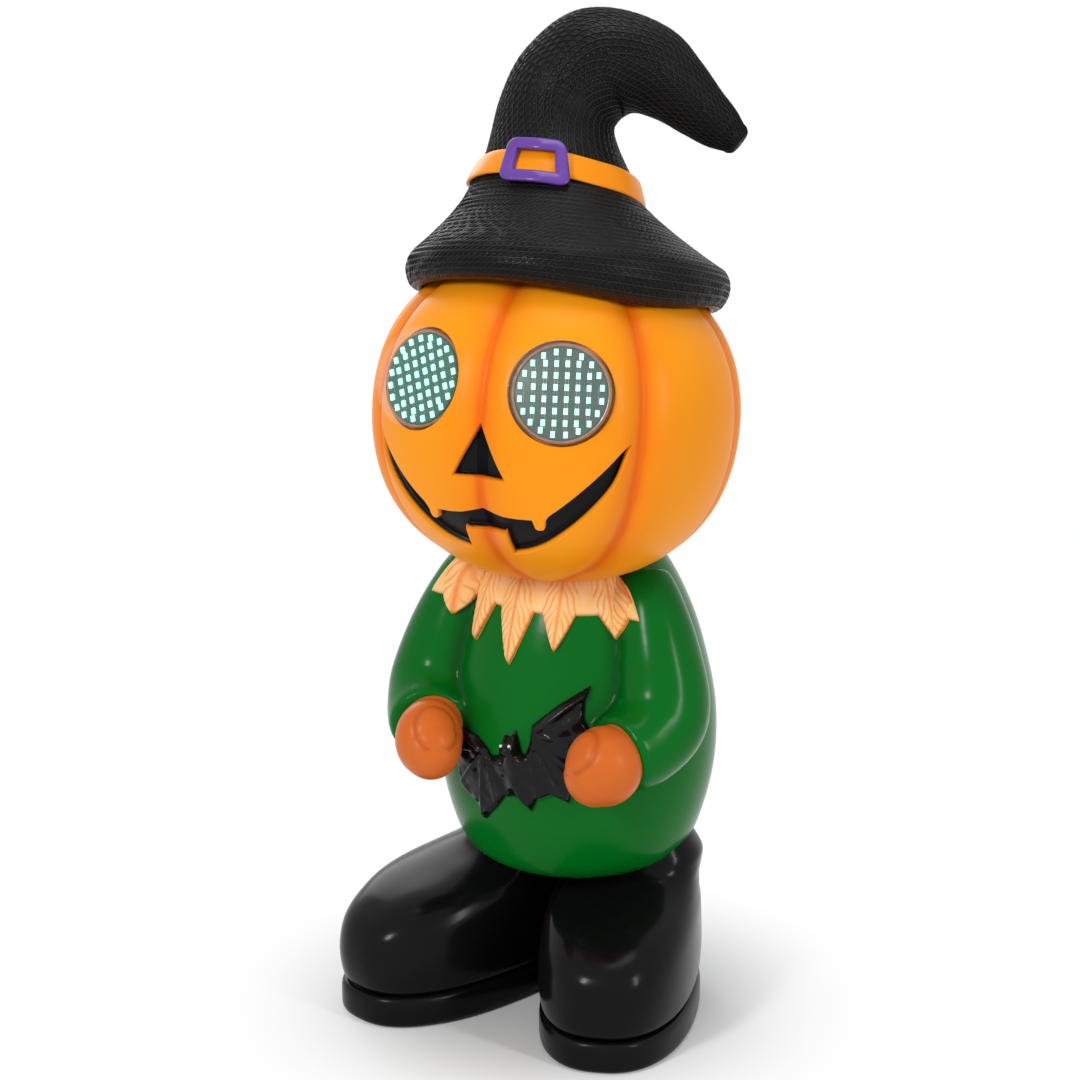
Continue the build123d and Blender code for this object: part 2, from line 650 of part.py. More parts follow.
def make_bat():
    """The bat that lies on the belly between the hands."""
    sheet = body_egg(SEAT + BAT_T) - body_egg(SEAT)
    bat = sheet & along_y(outline(BAT), -120, 0)
    arm = sleeve(SEAT)
    grip = hand_solid(SEAT)
    for piece in (arm, grip):
        bat = bat - piece - flip(piece)
    return max(bat.solids(), key=lambda solid: solid.volume)


# ================================================================ boots
def boot_ring(z, back, front, half, moved, side, inset=0.0):
    """One level section of a boot, drawn as a rounded oblong."""
    x, y, splay = HEELS[side]
    turn = math.radians(splay)
    middle = (back + front) / 2
    centre = (x - middle * math.sin(turn), y + middle * math.cos(turn))
    leg = LEGS[side]
    cx = centre[0] + (leg[0] - centre[0]) * moved
    cy = centre[1] + (leg[1] - centre[1]) * moved
    a = (back - front) / 2 - inset
    b = half - inset
    points = []
    for index in range(20):
        angle = 2 * math.pi * index / 20
        c = math.cos(angle)
        s = math.sin(angle)
        u = b * math.copysign(abs(c) ** 0.82, c)
        v = a * math.copysign(abs(s) ** 0.88, s)
        along = u * math.cos(turn) - v * math.sin(turn)
        across = u * math.sin(turn) + v * math.cos(turn)
        points.append((cx + along, cy + across, z))
    return make_face(Spline(*points, periodic=True))


def make_boot(side):
    """One hollow boot upper, seated under the trunk."""
    upper = loft([boot_ring(*level, side) for level in UPPER])
    upper -= body_egg(SEAT)
    levels = [level for level in UPPER if level[0] <= CAVITY_TOP]
    hollow = loft([boot_ring(level[0] + BOOT_WALL * (index == 0), *level[1:], side, BOOT_WALL)
                   for index, level in enumerate(levels)])
    x = FOOT_BOLT_AT[0] if side == "left" else -FOOT_BOLT_AT[0]
    post = Pos(x, FOOT_BOLT_AT[1], 0)
    hollow -= post * tube(FOOT_POST_R, 0, 0, 200)
    upper -= hollow
    return upper - post * tube(FOOT_HOLE_R, 0, 0, 200)


def make_sole(side):
    """One flat sole with rounded edges and a countersunk bolt hole."""
    ring = boot_ring(0, 0, -SOLE_L, SOLE_HALF, 0, side)
    sole = extrude(ring, SOLE_T, dir=(0, 0, 1))
    sole = fillet(sole.edges().group_by(Axis.Z)[0] + sole.edges().group_by(Axis.Z)[-1], SOLE_ROUND)
    x = FOOT_BOLT_AT[0] if side == "left" else -FOOT_BOLT_AT[0]
    post = Pos(x, FOOT_BOLT_AT[1], 0)
    sole -= post * tube(FOOT_HEAD_R + 1, 0, -1, FOOT_SINK)
    return sole - post * tube(FOOT_HOLE_R, 0, -1, SOLE_T + 1)


def make_foot_bolts():
    """A long bolt up through each sole and boot, with a nut on the body's floor post."""
    bolts = []
    nuts = []
    for x in (-FOOT_BOLT_AT[0], FOOT_BOLT_AT[0]):
        at = Pos(x, FOOT_BOLT_AT[1], 0)
        bolt = tube(FOOT_HEAD_R, 0, FOOT_SINK - FOOT_HEAD_H, FOOT_SINK)
        bolt += tube(FOOT_BOLT_R, 0, FOOT_SINK, FOOT_POST_TOP + FOOT_NUT_H + 3)
        nut = extrude(RegularPolygon(FOOT_NUT_R, 6), FOOT_NUT_H)
        nut = Pos(0, 0, FOOT_POST_TOP) * nut - tube(FOOT_BOLT_R + RUN, 0, FOOT_POST_TOP - 1, 200)
        bolts.append(at * bolt)
        nuts.append(at * nut)
    return bolts, nuts


# ================================================================ battery compartment
BAY_BACK = PAD_Y - BAY_D          # inner face of the bay's floor
BEZEL_Y = PAD_Y + BEZEL_T
DOOR_Y = BEZEL_Y + DOOR_AIR
HINGE_Y = BEZEL_Y + HINGE_R + DOOR_AIR
HINGE_Z = BAY_Z - BAY_H / 2 - HINGE_R
DOOR_LOW = HINGE_Z + HINGE_R + DOOR_AIR
DOOR_HIGH = BAY_Z + BAY_H / 2 + DOOR_LAP


def bezel_screw_places():
    """Where the four bezel screws go, as (x, z)."""
    dx = BEZEL_W / 2 - 3.5
    dz = BEZEL_H / 2 - 3.5
    return [(sx * dx, BAY_Z + sz * dz) for sx in (-1, 1) for sz in (-1, 1)]


def make_battery_box():
    """The tub that holds the cells, with its bezel, hinge ears and board posts."""
    w = BAY_W / 2 + BAY_WALL
    h = BAY_H / 2 + BAY_WALL
    tub = block(-w, w, BAY_BACK - BAY_WALL, BEZEL_Y, BAY_Z - h, BAY_Z + h)
    tub += block(-BEZEL_W / 2, BEZEL_W / 2, PAD_Y, BEZEL_Y, BAY_Z - BEZEL_H / 2, BAY_Z + BEZEL_H / 2)
    tub -= block(-BAY_W / 2, BAY_W / 2, BAY_BACK, BEZEL_Y + 1, BAY_Z - BAY_H / 2, BAY_Z + BAY_H / 2)
    inner = KNUCKLE_HALF + SEAT
    for side in (-1, 1):
        x0, x1 = sorted((side * inner, side * (inner + EAR_W)))
        ear = block(x0, x1, BEZEL_Y - 0.5, HINGE_Y, HINGE_Z - HINGE_R, HINGE_Z + HINGE_R)
        ear += Pos(x0, HINGE_Y, HINGE_Z) * Rot(0, 90, 0) * tube(HINGE_R, 0, 0, EAR_W)
        tub += ear
    tub -= Pos(-40, HINGE_Y, HINGE_Z) * Rot(0, 90, 0) * tube(PIN_R + RUN, 0, 0, 80)
    lip = BAY_Z + BAY_H / 2
    tub -= block(-LATCH_HALF - SEAT, LATCH_HALF + SEAT, PAD_Y - 0.5, BEZEL_Y + 1, lip - 1, lip + 1.2)
    for x, z in bezel_screw_places():
        tub -= Pos(x, PAD_Y - 1, z) * Rot(-90, 0, 0) * tube(SMALL_SCREW_R + RUN, 0, 0, 8)
    for x, z in pcb_screw_places():
        post = Pos(x, BAY_BACK - BAY_WALL, z) * Rot(90, 0, 0)
        tub += post * tube(POST_R, 0, 0, POST_L)
        tub -= post * tube(SMALL_SCREW_R + RUN, 0, 2, POST_L + 1)
    lead = Pos(-w - 1, lead_start()[1], lead_start()[2]) * Rot(0, 90, 0)
    tub -= lead * tube(LEAD_D / 2 + SEAT, 0, 0, BAY_WALL + 2)
    return tub


def make_door():
    """The battery door with its hinge knuckle and latch nose."""
    half = BAY_W / 2 + DOOR_LAP
    door = block(-half, half, DOOR_Y, DOOR_Y + DOOR_T, DOOR_LOW, DOOR_HIGH)
    door += block(-KNUCKLE_HALF, KNUCKLE_HALF, DOOR_Y, DOOR_Y + DOOR_T, HINGE_Z, DOOR_LOW + 1)
    door += Pos(-KNUCKLE_HALF, HINGE_Y, HINGE_Z) * Rot(0, 90, 0) * tube(HINGE_R, 0, 0, 2 * KNUCKLE_HALF)
    door -= Pos(-40, HINGE_Y, HINGE_Z) * Rot(0, 90, 0) * tube(PIN_R + RUN, 0, 0, 80)
    top = BAY_Z + BAY_H / 2
    door += block(-LATCH_HALF, LATCH_HALF, DOOR_Y - DOOR_AIR - LATCH_DEEP, DOOR_Y + 0.5, top - 0.4, top + 0.7)
    door += block(-7, 7, DOOR_Y, DOOR_Y + DOOR_T + 1.5, DOOR_HIGH - 3.0, DOOR_HIGH + 2)
    return door


def make_hinge_pin():
    """The steel pin through both ears and the knuckle."""
    half = KNUCKLE_HALF + SEAT + EAR_W
    return Pos(-half, HINGE_Y, HINGE_Z) * Rot(0, 90, 0) * tube(PIN_R, 0, 0, 2 * half)


def make_cells():
    """The dry cells side by side, every second one the other way up."""
    cells = []
    for index in range(CELLS):
        x = (index - (CELLS - 1) / 2) * CELL_PITCH
        cell = tube(CELL_R, 0, -CELL_L / 2, CELL_L / 2) + tube(2.7, 0, CELL_L / 2, CELL_L / 2 + CELL_NUB)
        if index % 2:
            cell = Rot(180, 0, 0) * cell
        cells.append(Pos(x, BAY_BACK + CELL_R + SEAT, BAY_Z) * cell)
    return cells


def make_contacts():
    """A sprung leaf contact at both ends of each cell."""
    contacts = []
    for index in range(CELLS):
        x = (index - (CELLS - 1) / 2) * CELL_PITCH
        for end in (-1, 1):
            nub = CELL_NUB if end * (-1) ** index > 0 else 0.0
            rise = BAY_H / 2 - CELL_L / 2 - nub - SEAT / 2
            leaf = outline([(-5.5, 0), (-5.5, 0.5), (-3.4, 0.5), (-1.8, rise), (1.8, rise), (3.4, 0.5),
                            (5.5, 0.5), (5.5, 0)])
            leaf = along_y(leaf, -3.5, 3.5)
            z = BAY_Z + end * BAY_H / 2
            turned = Rot(0, 180, 0) * leaf if end > 0 else leaf
            contacts.append(Pos(x, BAY_BACK + CELL_R + SEAT, z) * turned)
    return contacts


def make_bezel_screws():
    """The four screws that hold the battery bezel."""
    screws = []
    for x, z in bezel_screw_places():
        screw = tube(SMALL_SCREW_R, 0, -8, 0) + tube(SMALL_HEAD_R, 0, 0, SMALL_HEAD_H)
        screws.append(Pos(x, BEZEL_Y, z) * Rot(-90, 0, 0) * screw)
    return screws


# ================================================================ controller and switch
PCB_Y = BAY_BACK - BAY_WALL - POST_L     # side of the board that rests on the posts
PLUG_Y = PCB_Y - PCB_T - PLUG_D / 2
PLUG_TOP = BAY_Z + PCB_H / 2 - 2


def pcb_screw_places():
    """Where the four board screws go, as (x, z)."""
    return [(sx * PCB_HOLE_X, BAY_Z + sz * PCB_HOLE_Z) for sx in (-1, 1) for sz in (-1, 1)]


def lead_start():
    """Where the battery lead leaves the tub."""
    return (-BAY_W / 2 - BAY_WALL, BAY_BACK + 9, BAY_Z + 12)


def make_board():
    """The controller board on its posts."""
    board = block(-PCB_W / 2, PCB_W / 2, PCB_Y - PCB_T, PCB_Y, BAY_Z - PCB_H / 2, BAY_Z + PCB_H / 2)
    for x, z in pcb_screw_places():
        board -= Pos(x, PCB_Y - PCB_T - 1, z) * Rot(-90, 0, 0) * tube(SMALL_SCREW_R + RUN, 0, 0, PCB_T + 2)
    return board


def make_board_screws():
    """The four board screws."""
    screws = []
    for x, z in pcb_screw_places():
        screw = tube(SMALL_SCREW_R, 0, 0, PCB_T + 6) + tube(SMALL_HEAD_R, 0, -SMALL_HEAD_H, 0)
        screws.append(Pos(x, PCB_Y - PCB_T, z) * Rot(-90, 0, 0) * screw)
    return screws


def make_components():
    """What is soldered to the board: lead sockets, driver chips, timer, crystal and capacitors."""
    face = PCB_Y - PCB_T
    parts = []
    for x in (-PLUG_X, 0, PLUG_X):
        parts.append(block(x - PLUG_W / 2, x + PLUG_W / 2, face - PLUG_D, face, PLUG_TOP - PLUG_H, PLUG_TOP))
    edge = -PCB_W / 2 + 1
    parts.append(block(edge, edge + PLUG_H, face - PLUG_D, face, BAY_Z - PLUG_W / 2, BAY_Z + PLUG_W / 2))
    for x in (-4, 10):
        parts.append(block(x - 5, x + 5, face - 1.8, face, BAY_Z - 6, BAY_Z + 4))
    parts.append(block(-6, 4, face - 3.2, face, BAY_Z - 16, BAY_Z - 12))
    for x in (10, 17):
        parts.append(Pos(x - 1, face, BAY_Z - 12) * Rot(90, 0, 0) * tube(2.5, 0, 0, 7))
    return parts


def make_switch():
    """The slide switch inside the back wall, its knob and its two screws."""
    wall = PAD_Y - PAD_WALL
    body = block(-SWITCH_W / 2, SWITCH_W / 2, wall - SWITCH_D, wall,
                 SWITCH_Z - SWITCH_H / 2, SWITCH_Z + SWITCH_H / 2)
    body += block(-SWITCH_FLANGE_W / 2, SWITCH_FLANGE_W / 2, wall - SWITCH_FLANGE_T, wall,
                  SWITCH_Z - SWITCH_H / 2, SWITCH_Z + SWITCH_H / 2)
    half = SLIDER_W / 2 + SWITCH_TRAVEL / 2 + SEAT
    tall = SLIDER_H / 2 + SEAT
    body -= block(-half, half, wall - SLIDER_T - 2 * SEAT, wall + 1, SWITCH_Z - tall, SWITCH_Z + tall)
    rest = -SWITCH_TRAVEL / 2
    knob = block(rest - SLIDER_W / 2, rest + SLIDER_W / 2, wall - SEAT - SLIDER_T, wall - SEAT,
                 SWITCH_Z - SLIDER_H / 2, SWITCH_Z + SLIDER_H / 2)
    knob += block(rest - STEM_W / 2, rest + STEM_W / 2, wall - 1, PAD_Y + STEM_OUT,
                  SWITCH_Z - STEM_H / 2, SWITCH_Z + STEM_H / 2)
    screws = []
    for x in (-SWITCH_SCREW_X, SWITCH_SCREW_X):
        at = Pos(x, wall - SWITCH_FLANGE_T, SWITCH_Z) * Rot(-90, 0, 0)
        body -= at * tube(SMALL_SCREW_R + RUN, 0, -1, 3)
        screws.append(at * (tube(SMALL_SCREW_R, 0, 0, 3.5) + tube(SMALL_HEAD_R, 0, -SMALL_HEAD_H, 0)))
    return body, knob, screws


def make_leads():
    """The four inner leads, each on its real route."""
    start = (EYE * Pos(0, 0, -LED_T - BOARD_T - SEAT)).position
    out = (EYE * Pos(0, 0, BOSS_BACK - 22)).position
    socket = (PLUG_X, PLUG_Y, PLUG_TOP + PLUG_GAP)
    eye = [tuple(start), tuple(out), (21, -20, 364), (12.5, 9, 334), (8, 23, 299), (8.5, 25, 261),
           (10, 38, 226), (PLUG_X, 60, 204), socket]
    left = cable("eye lead", eye, LEAD_D)
    wall = PAD_Y - PAD_WALL - SWITCH_D
    switch = [(0, wall, SWITCH_Z), (0, wall - 11, SWITCH_Z), (0, PLUG_Y, SWITCH_Z - 9), (0, PLUG_Y, PLUG_TOP)]
    x, y, z = lead_start()
    plug = (-PCB_W / 2 + 1 - PLUG_GAP, PLUG_Y, BAY_Z)
    battery = [(x, y, z), (x - 15, y - 1, z - 1), (x - 20, y - 14, z - 5), (x - 11, PLUG_Y + 1, z - 11), plug]
    return left, cable("switch lead", switch, LEAD_D), cable("battery lead", battery, LEAD_D)


# ================================================================ assembly
def build():
    """Every node of the figure, as a name and its solids."""
    nodes = {}
    nodes["hat_shell"] = make_hat()
    nodes["hat_band"] = make_band()
    nodes["hat_buckle"] = make_buckle()
    nodes["head_shell"] = make_head()
    nodes["mouth_liner"] = make_liner(mouth_face(), -130)
    nodes["nose_liner"] = make_liner(nose_face(), -140)
    lens = make_lens()
    board = make_eye_board()
    cup = make_eye_cup()
    screws = make_eye_screws()
    leads = make_leads()
    hand = hand_solid()
    sides = {"left": lambda shape: shape, "right": flip}
    for side, place in sides.items():
        nodes[side + "_eye_lens"] = place(lens)
        nodes[side + "_led_board"] = place(board)
        turn = -BOARD_TURN[side]
        nodes[side + "_led_array"] = [place(led) for led in make_leds(turn)]
        nodes[side + "_eye_cup"] = place(cup)
        nodes[side + "_eye_screws"] = [place(screw) for screw in screws]
        nodes[side + "_eye_lead"] = place(leads[0])
        nodes[side + "_hand"] = place(hand)
        nodes[side + "_boot"] = make_boot(side)
        nodes[side + "_sole"] = make_sole(side)
    nodes["body_shell"] = make_body()
    nodes["leaf_collar"] = make_collar()
    nodes["bat_ornament"] = make_bat()
    nodes["neck_tube"], nodes["neck_nut"] = make_neck()
    nodes["foot_bolts"], nodes["foot_nuts"] = make_foot_bolts()
    nodes["battery_box"] = make_battery_box()
    nodes["battery_door"] = make_door()
    nodes["door_hinge_pin"] = make_hinge_pin()
    nodes["battery_cells"] = make_cells()
    nodes["battery_contacts"] = make_contacts()
    nodes["bezel_screws"] = make_bezel_screws()
    nodes["controller_board"] = make_board()
    nodes["board_components"] = make_components()
    nodes["board_screws"] = make_board_screws()
    nodes["switch_body"], nodes["switch_knob"], nodes["switch_screws"] = make_switch()
    nodes["switch_lead"] = leads[1]
    nodes["battery_lead"] = leads[2]
    return nodes


def solids_of(item):
    """A flat list of the solids in a shape or a list of shapes."""
    shapes = item if isinstance(item, list) else [item]
    found = []
    for shape in shapes:
        found.extend(shape.solids())
    return found


def main():
    """Builds the figure, sets it on the ground about the origin and writes one file per node."""
    nodes = {name: solids_of(item) for name, item in build().items()}
    boxes = [solid.bounding_box() for group in nodes.values() for solid in group]
    low = [min(tuple(box.min)[axis] for box in boxes) for axis in range(3)]
    high = [max(tuple(box.max)[axis] for box in boxes) for axis in range(3)]
    shift = Vector(-(low[0] + high[0]) / 2, -(low[1] + high[1]) / 2, -low[2])
    os.makedirs("parts", exist_ok=True)
    for name, group in nodes.items():
        placed = [Pos(shift) * solid for solid in group]
        export_step(placed[0] if len(placed) == 1 else Compound(children=placed), f"parts/{name}.step")
    print("shift", tuple(shift))
    print("size", [top - bottom for bottom, top in zip(low, high)])
    print("door hinge", (shift.X, HINGE_Y + shift.Y, HINGE_Z + shift.Z))
    for side, (x, y, splay) in HEELS.items():
        turn = math.radians(splay)
        place = (x + 80 * math.sin(turn) + shift.X, y - 80 * math.cos(turn) + shift.Y)
        print(side, "sole face", place)


main()
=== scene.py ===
"""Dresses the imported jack-o'-lantern figure in the witch hat: moulded shells, paint, lit eyes and a studio.

The sub-assemblies are modelled in millimetres in the figure's own working frame (ground at z = 0, face
towards -Y, +X the figure's left) and are set into the shared frame when a piece is finished.
"""

import logging
import math
from dataclasses import dataclass, field
from enum import Enum
from typing import Callable, Sequence

import bmesh
import bpy
import numpy as np
from mathutils import Matrix, Vector
from mathutils.bvhtree import BVHTree
from mathutils.geometry import tessellate_polygon


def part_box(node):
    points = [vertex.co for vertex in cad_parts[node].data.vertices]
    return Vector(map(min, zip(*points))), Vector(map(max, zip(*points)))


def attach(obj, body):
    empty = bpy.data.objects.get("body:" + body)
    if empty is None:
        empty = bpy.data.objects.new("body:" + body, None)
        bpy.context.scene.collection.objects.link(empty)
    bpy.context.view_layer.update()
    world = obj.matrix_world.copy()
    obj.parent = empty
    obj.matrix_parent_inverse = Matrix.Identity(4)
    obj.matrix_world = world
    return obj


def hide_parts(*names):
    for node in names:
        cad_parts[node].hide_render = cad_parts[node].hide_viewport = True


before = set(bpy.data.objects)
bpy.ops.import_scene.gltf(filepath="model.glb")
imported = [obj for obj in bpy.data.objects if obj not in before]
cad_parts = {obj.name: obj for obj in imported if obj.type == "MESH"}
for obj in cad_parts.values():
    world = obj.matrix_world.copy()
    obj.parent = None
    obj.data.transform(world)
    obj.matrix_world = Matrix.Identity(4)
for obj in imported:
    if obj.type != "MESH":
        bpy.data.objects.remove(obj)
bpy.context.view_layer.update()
log = logging.getLogger("figure")

MM = 0.001
FIGURE = "figure"
THREAD_HEIGHT = 0.0012
Point = tuple[float, float]
Colour = tuple[float, float, float]
Section = tuple[float, ...]
Solid = bmesh.types.BMesh


# ---------------------------------------------------------------- small sums
def smoothstep(low: float, high: float, value: np.ndarray) -> np.ndarray:
    """An eased ramp.

    Args:
        low: Value at which the ramp is 0.
        high: Value at which the ramp is 1.
        value: The numbers to ease.
    Returns:
        Numbers from 0 to 1.
    """
    t = np.clip((value - low) / (high - low), 0.0, 1.0)
    return t * t * (3 - 2 * t)


def hump(distance: np.ndarray, width: float) -> np.ndarray:
    """A soft bell that is 1 at no distance and falls off over a width."""
    return np.exp(-(distance / width) ** 2)


def smooth_line(points: Sequence[Sequence[float]], count: int) -> np.ndarray:
    """Samples of one smooth line through the points.

    Args:
        points: What the line passes through.
        count: Number of samples.
    Returns:
        The samples, one a row.
    """
    pts = np.array(points, float)
    pts = np.vstack([2 * pts[0] - pts[1], pts, 2 * pts[-1] - pts[-2]])
    place = np.linspace(0, len(points) - 1 - 1e-9, count)
    index = place.astype(int)
    t = (place - index)[:, None]
    a, b, c, d = (pts[index + k] for k in range(4))
    square = 2 * a - 5 * b + 4 * c - d
    cube = 3 * b - a - 3 * c + d
    return 0.5 * (2 * b + (c - a) * t + square * t ** 2 + cube * t ** 3)


def outline_distance(outline: Sequence[Point], x: np.ndarray, z: np.ndarray) -> tuple[np.ndarray, np.ndarray]:
    """Distance of flat points from a closed outline.

    Args:
        outline: Corners of the outline.
        x: First coordinates.
        z: Second coordinates.
    Returns:
        The distances, below 0 inside, and the nearest points on the outline.
    """
    corners = np.array(outline, float)
    best = np.full(x.shape, 1e9)
    nearest = np.zeros((len(x), 2))
    inside = np.zeros(x.shape, bool)
    spot = np.stack([x, z], axis=1)
    for first, last in zip(corners, np.roll(corners, -1, axis=0)):
        edge = last - first
        share = np.clip((spot - first) @ edge / max(edge @ edge, 1e-12), 0, 1)
        foot = first + share[:, None] * edge
        gap = np.hypot(*(spot - foot).T)
        closer = gap < best
        best[closer] = gap[closer]
        nearest[closer] = foot[closer]
        crosses = (first[1] > z) != (last[1] > z)
        rise = edge[1] if abs(edge[1]) > 1e-12 else 1e-12
        inside ^= crosses & (x < first[0] + (z - first[1]) / rise * edge[0])
    return np.where(inside, -best, best), nearest


def segment_distance(x: np.ndarray, z: np.ndarray, first: Point,
                     last: Point) -> tuple[np.ndarray, np.ndarray]:
    """Distance of flat points from a straight stroke.

    Args:
        x: First coordinates.
        z: Second coordinates.
        first: Start of the stroke.
        last: End of the stroke.
    Returns:
        The distances, and how far along the stroke each point is, from 0 to 1.
    """
    edge = np.array(last, float) - np.array(first, float)
    spot = np.stack([x, z], axis=1) - np.array(first, float)
    share = np.clip(spot @ edge / (edge @ edge), 0, 1)
    return np.hypot(*(spot - share[:, None] * edge).T), share


# ---------------------------------------------------------------- meshes
def positions(mesh: bpy.types.Mesh) -> np.ndarray:
    """The places of a mesh's vertices.

    Args:
        mesh: The mesh.
    Returns:
        One row for each vertex.
    """
    co = np.empty(len(mesh.vertices) * 3)
    mesh.vertices.foreach_get("co", co)
    return co.reshape(-1, 3)


def normals(mesh: bpy.types.Mesh) -> np.ndarray:
    """The normals of a mesh's vertices.

    Args:
        mesh: The mesh.
    Returns:
        One row for each vertex.
    """
    out = np.empty(len(mesh.vertices) * 3, np.float32)
    mesh.vertex_normals.foreach_get("vector", out)
    return out.reshape(-1, 3).astype(float)


def move_to(mesh: bpy.types.Mesh, co: np.ndarray) -> None:
    """Gives the mesh's vertices new places."""
    mesh.vertices.foreach_set("co", co.astype(np.float32).ravel())
    mesh.update()


def paint_mask(mesh: bpy.types.Mesh, name: str, values: np.ndarray) -> None:
    """Stores one number per vertex for a finish to read."""
    attribute = mesh.attributes.get(name) or mesh.attributes.new(name, "FLOAT", "POINT")
    attribute.data.foreach_set("value", values.astype(np.float32))


def loft(bm: Solid, profile: Sequence[Point], stations: Sequence[Matrix], closed: bool = False) -> None:
    """Skins a flat profile carried through stations, and caps its ends unless it closes on itself.

    Args:
        bm: The mesh that receives the skin.
        profile: Corners of the profile in its own plane.
        stations: Where the profile stands, one matrix a ring.
        closed: Whether the last ring joins the first.
    """
    count = len(profile)
    ring = bmesh.ops.create_circle(bm, segments=count, radius=1.0)["verts"]
    for vert, (u, v) in zip(ring, profile):
        vert.co = stations[0] @ Vector((u, v, 0))
    first = list({edge for vert in ring for edge in vert.link_edges})
    edges = first
    for before, after in zip(stations, stations[1:]):
        grown = bmesh.ops.extrude_edge_only(bm, edges=edges)["geom"]
        verts = [item for item in grown if isinstance(item, bmesh.types.BMVert)]
        edges = [item for item in grown if isinstance(item, bmesh.types.BMEdge)]
        bmesh.ops.transform(bm, matrix=after @ before.inverted(), verts=verts)
    if closed:
        bmesh.ops.bridge_loops(bm, edges=first + edges)
    else:
        bmesh.ops.contextual_create(bm, geom=first)
        bmesh.ops.contextual_create(bm, geom=edges)
    bmesh.ops.recalc_face_normals(bm, faces=bm.faces)


def circle(count: int) -> list[Point]:
    """A unit circle as a profile."""
    return [(math.cos(2 * math.pi * k / count), math.sin(2 * math.pi * k / count)) for k in range(count)]


def oblong(count: int, square_x: float, square_y: float) -> list[Point]:
    """A unit circle with fuller shoulders as a profile.

    Args:
        count: Number of corners.
        square_x: Exponent across; under 1 it squares the profile up.
        square_y: Exponent along.
    Returns:
        The corners.
    """
    points = []
    for c, s in circle(count):
        points.append((math.copysign(abs(c) ** square_x, c), math.copysign(abs(s) ** square_y, s)))
    return points


def box_solid(bm: Solid, low: Sequence[float], high: Sequence[float]) -> None:
    """Adds a box.

    Args:
        bm: The mesh that receives it.
        low: Its lowest corner.
        high: Its highest corner.
    """
    size = [b - a for a, b in zip(low, high)]
    middle = [(a + b) / 2 for a, b in zip(low, high)]
    matrix = Matrix.Translation(middle) @ Matrix.Diagonal((*size, 1))
    bmesh.ops.create_cube(bm, size=1.0, matrix=matrix)


def refine(bm: Solid, wanted: Callable[[np.ndarray], np.ndarray]) -> None:
    """Halves the edges of the faces round the wanted places.

    Args:
        bm: The mesh.
        wanted: Says for an array of vertex places which of them want a finer mesh.
    """
    bm.verts.index_update()
    near = wanted(np.array([vert.co for vert in bm.verts]))
    faces = [face for face in bm.faces if any(near[vert.index] for vert in face.verts)]
    edges = list({edge for face in faces for edge in face.edges})
    bmesh.ops.subdivide_edges(bm, edges=edges, cuts=1, use_grid_fill=True)
    bmesh.ops.triangulate(bm, faces=[face for face in bm.faces if len(face.verts) > 3])


def draft(bm: Solid) -> bpy.types.Object:
    """Turns a bmesh into an object on which modifiers can run.

    Args:
        bm: The mesh, which is freed.
    Returns:
        The object, linked to the scene.
    """
    mesh = bpy.data.meshes.new("draft")
    bm.to_mesh(mesh)
    bm.free()
    obj = bpy.data.objects.new("draft", mesh)
    bpy.context.scene.collection.objects.link(obj)
    return obj


def apply_modifiers(obj: bpy.types.Object) -> None:
    """Bakes every modifier into the mesh.

    Args:
        obj: The object with the modifiers.
    """
    graph = bpy.context.evaluated_depsgraph_get()
    graph.update()
    made = bpy.data.meshes.new_from_object(obj.evaluated_get(graph))
    old = obj.data
    obj.modifiers.clear()
    obj.data = made
    bpy.data.meshes.remove(old)


def fuse(obj: bpy.types.Object, voxel: float, rounds: int) -> None:
    """Makes one skin of overlapping solids and rounds the creases between them.

    Args:
        obj: The object with the overlapping solids.
        voxel: Size of the new mesh's cells.
        rounds: How often the skin is relaxed.
    """
    remesh = obj.modifiers.new("skin", "REMESH")
    remesh.mode = "VOXEL"
    remesh.voxel_size = voxel
    relax = obj.modifiers.new("relax", "SMOOTH")
    relax.factor = 0.5
    relax.iterations = rounds
    apply_modifiers(obj)


def carve(obj: bpy.types.Object, tool: bpy.types.Object, operation: str = "DIFFERENCE") -> None:
    """Cuts a solid out of an object, or joins it on.

    Args:
        obj: The object that is changed.
        tool: The solid, which is removed afterwards.
        operation: Name of the boolean operation.
    """
    cut = obj.modifiers.new("cut", "BOOLEAN")
    cut.operation = operation
    cut.solver = "EXACT"
    cut.object = tool
    apply_modifiers(obj)
    spent = tool.data
    bpy.data.objects.remove(tool)
    bpy.data.meshes.remove(spent)


# ---------------------------------------------------------------- working frame
@dataclass(frozen=True)
class Site:
    """Where the figure's working frame lies in the shared frame.

    Attributes:
        east: Shift along X in metres.
        north: Shift along Y in metres.
    """

    east: float
    north: float

    @classmethod
    def measured(cls, neck_y: float) -> "Site":
        """Finds the frame from the neck tube, whose axis stands at (0, neck_y) in it."""
        low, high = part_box("neck_tube")
        return cls((low.x + high.x) / 2, (low.y + high.y) / 2 - neck_y * MM)

    def matrix(self) -> Matrix:
        """From the working frame in millimetres to the shared frame in metres."""
        return Matrix.Translation((self.east, self.north, 0)) @ Matrix.Scale(MM, 4)

    def point(self, x: float, y: float, z: float) -> Vector:
        """A point of the working frame in the shared frame."""
        return self.matrix() @ Vector((x, y, z))


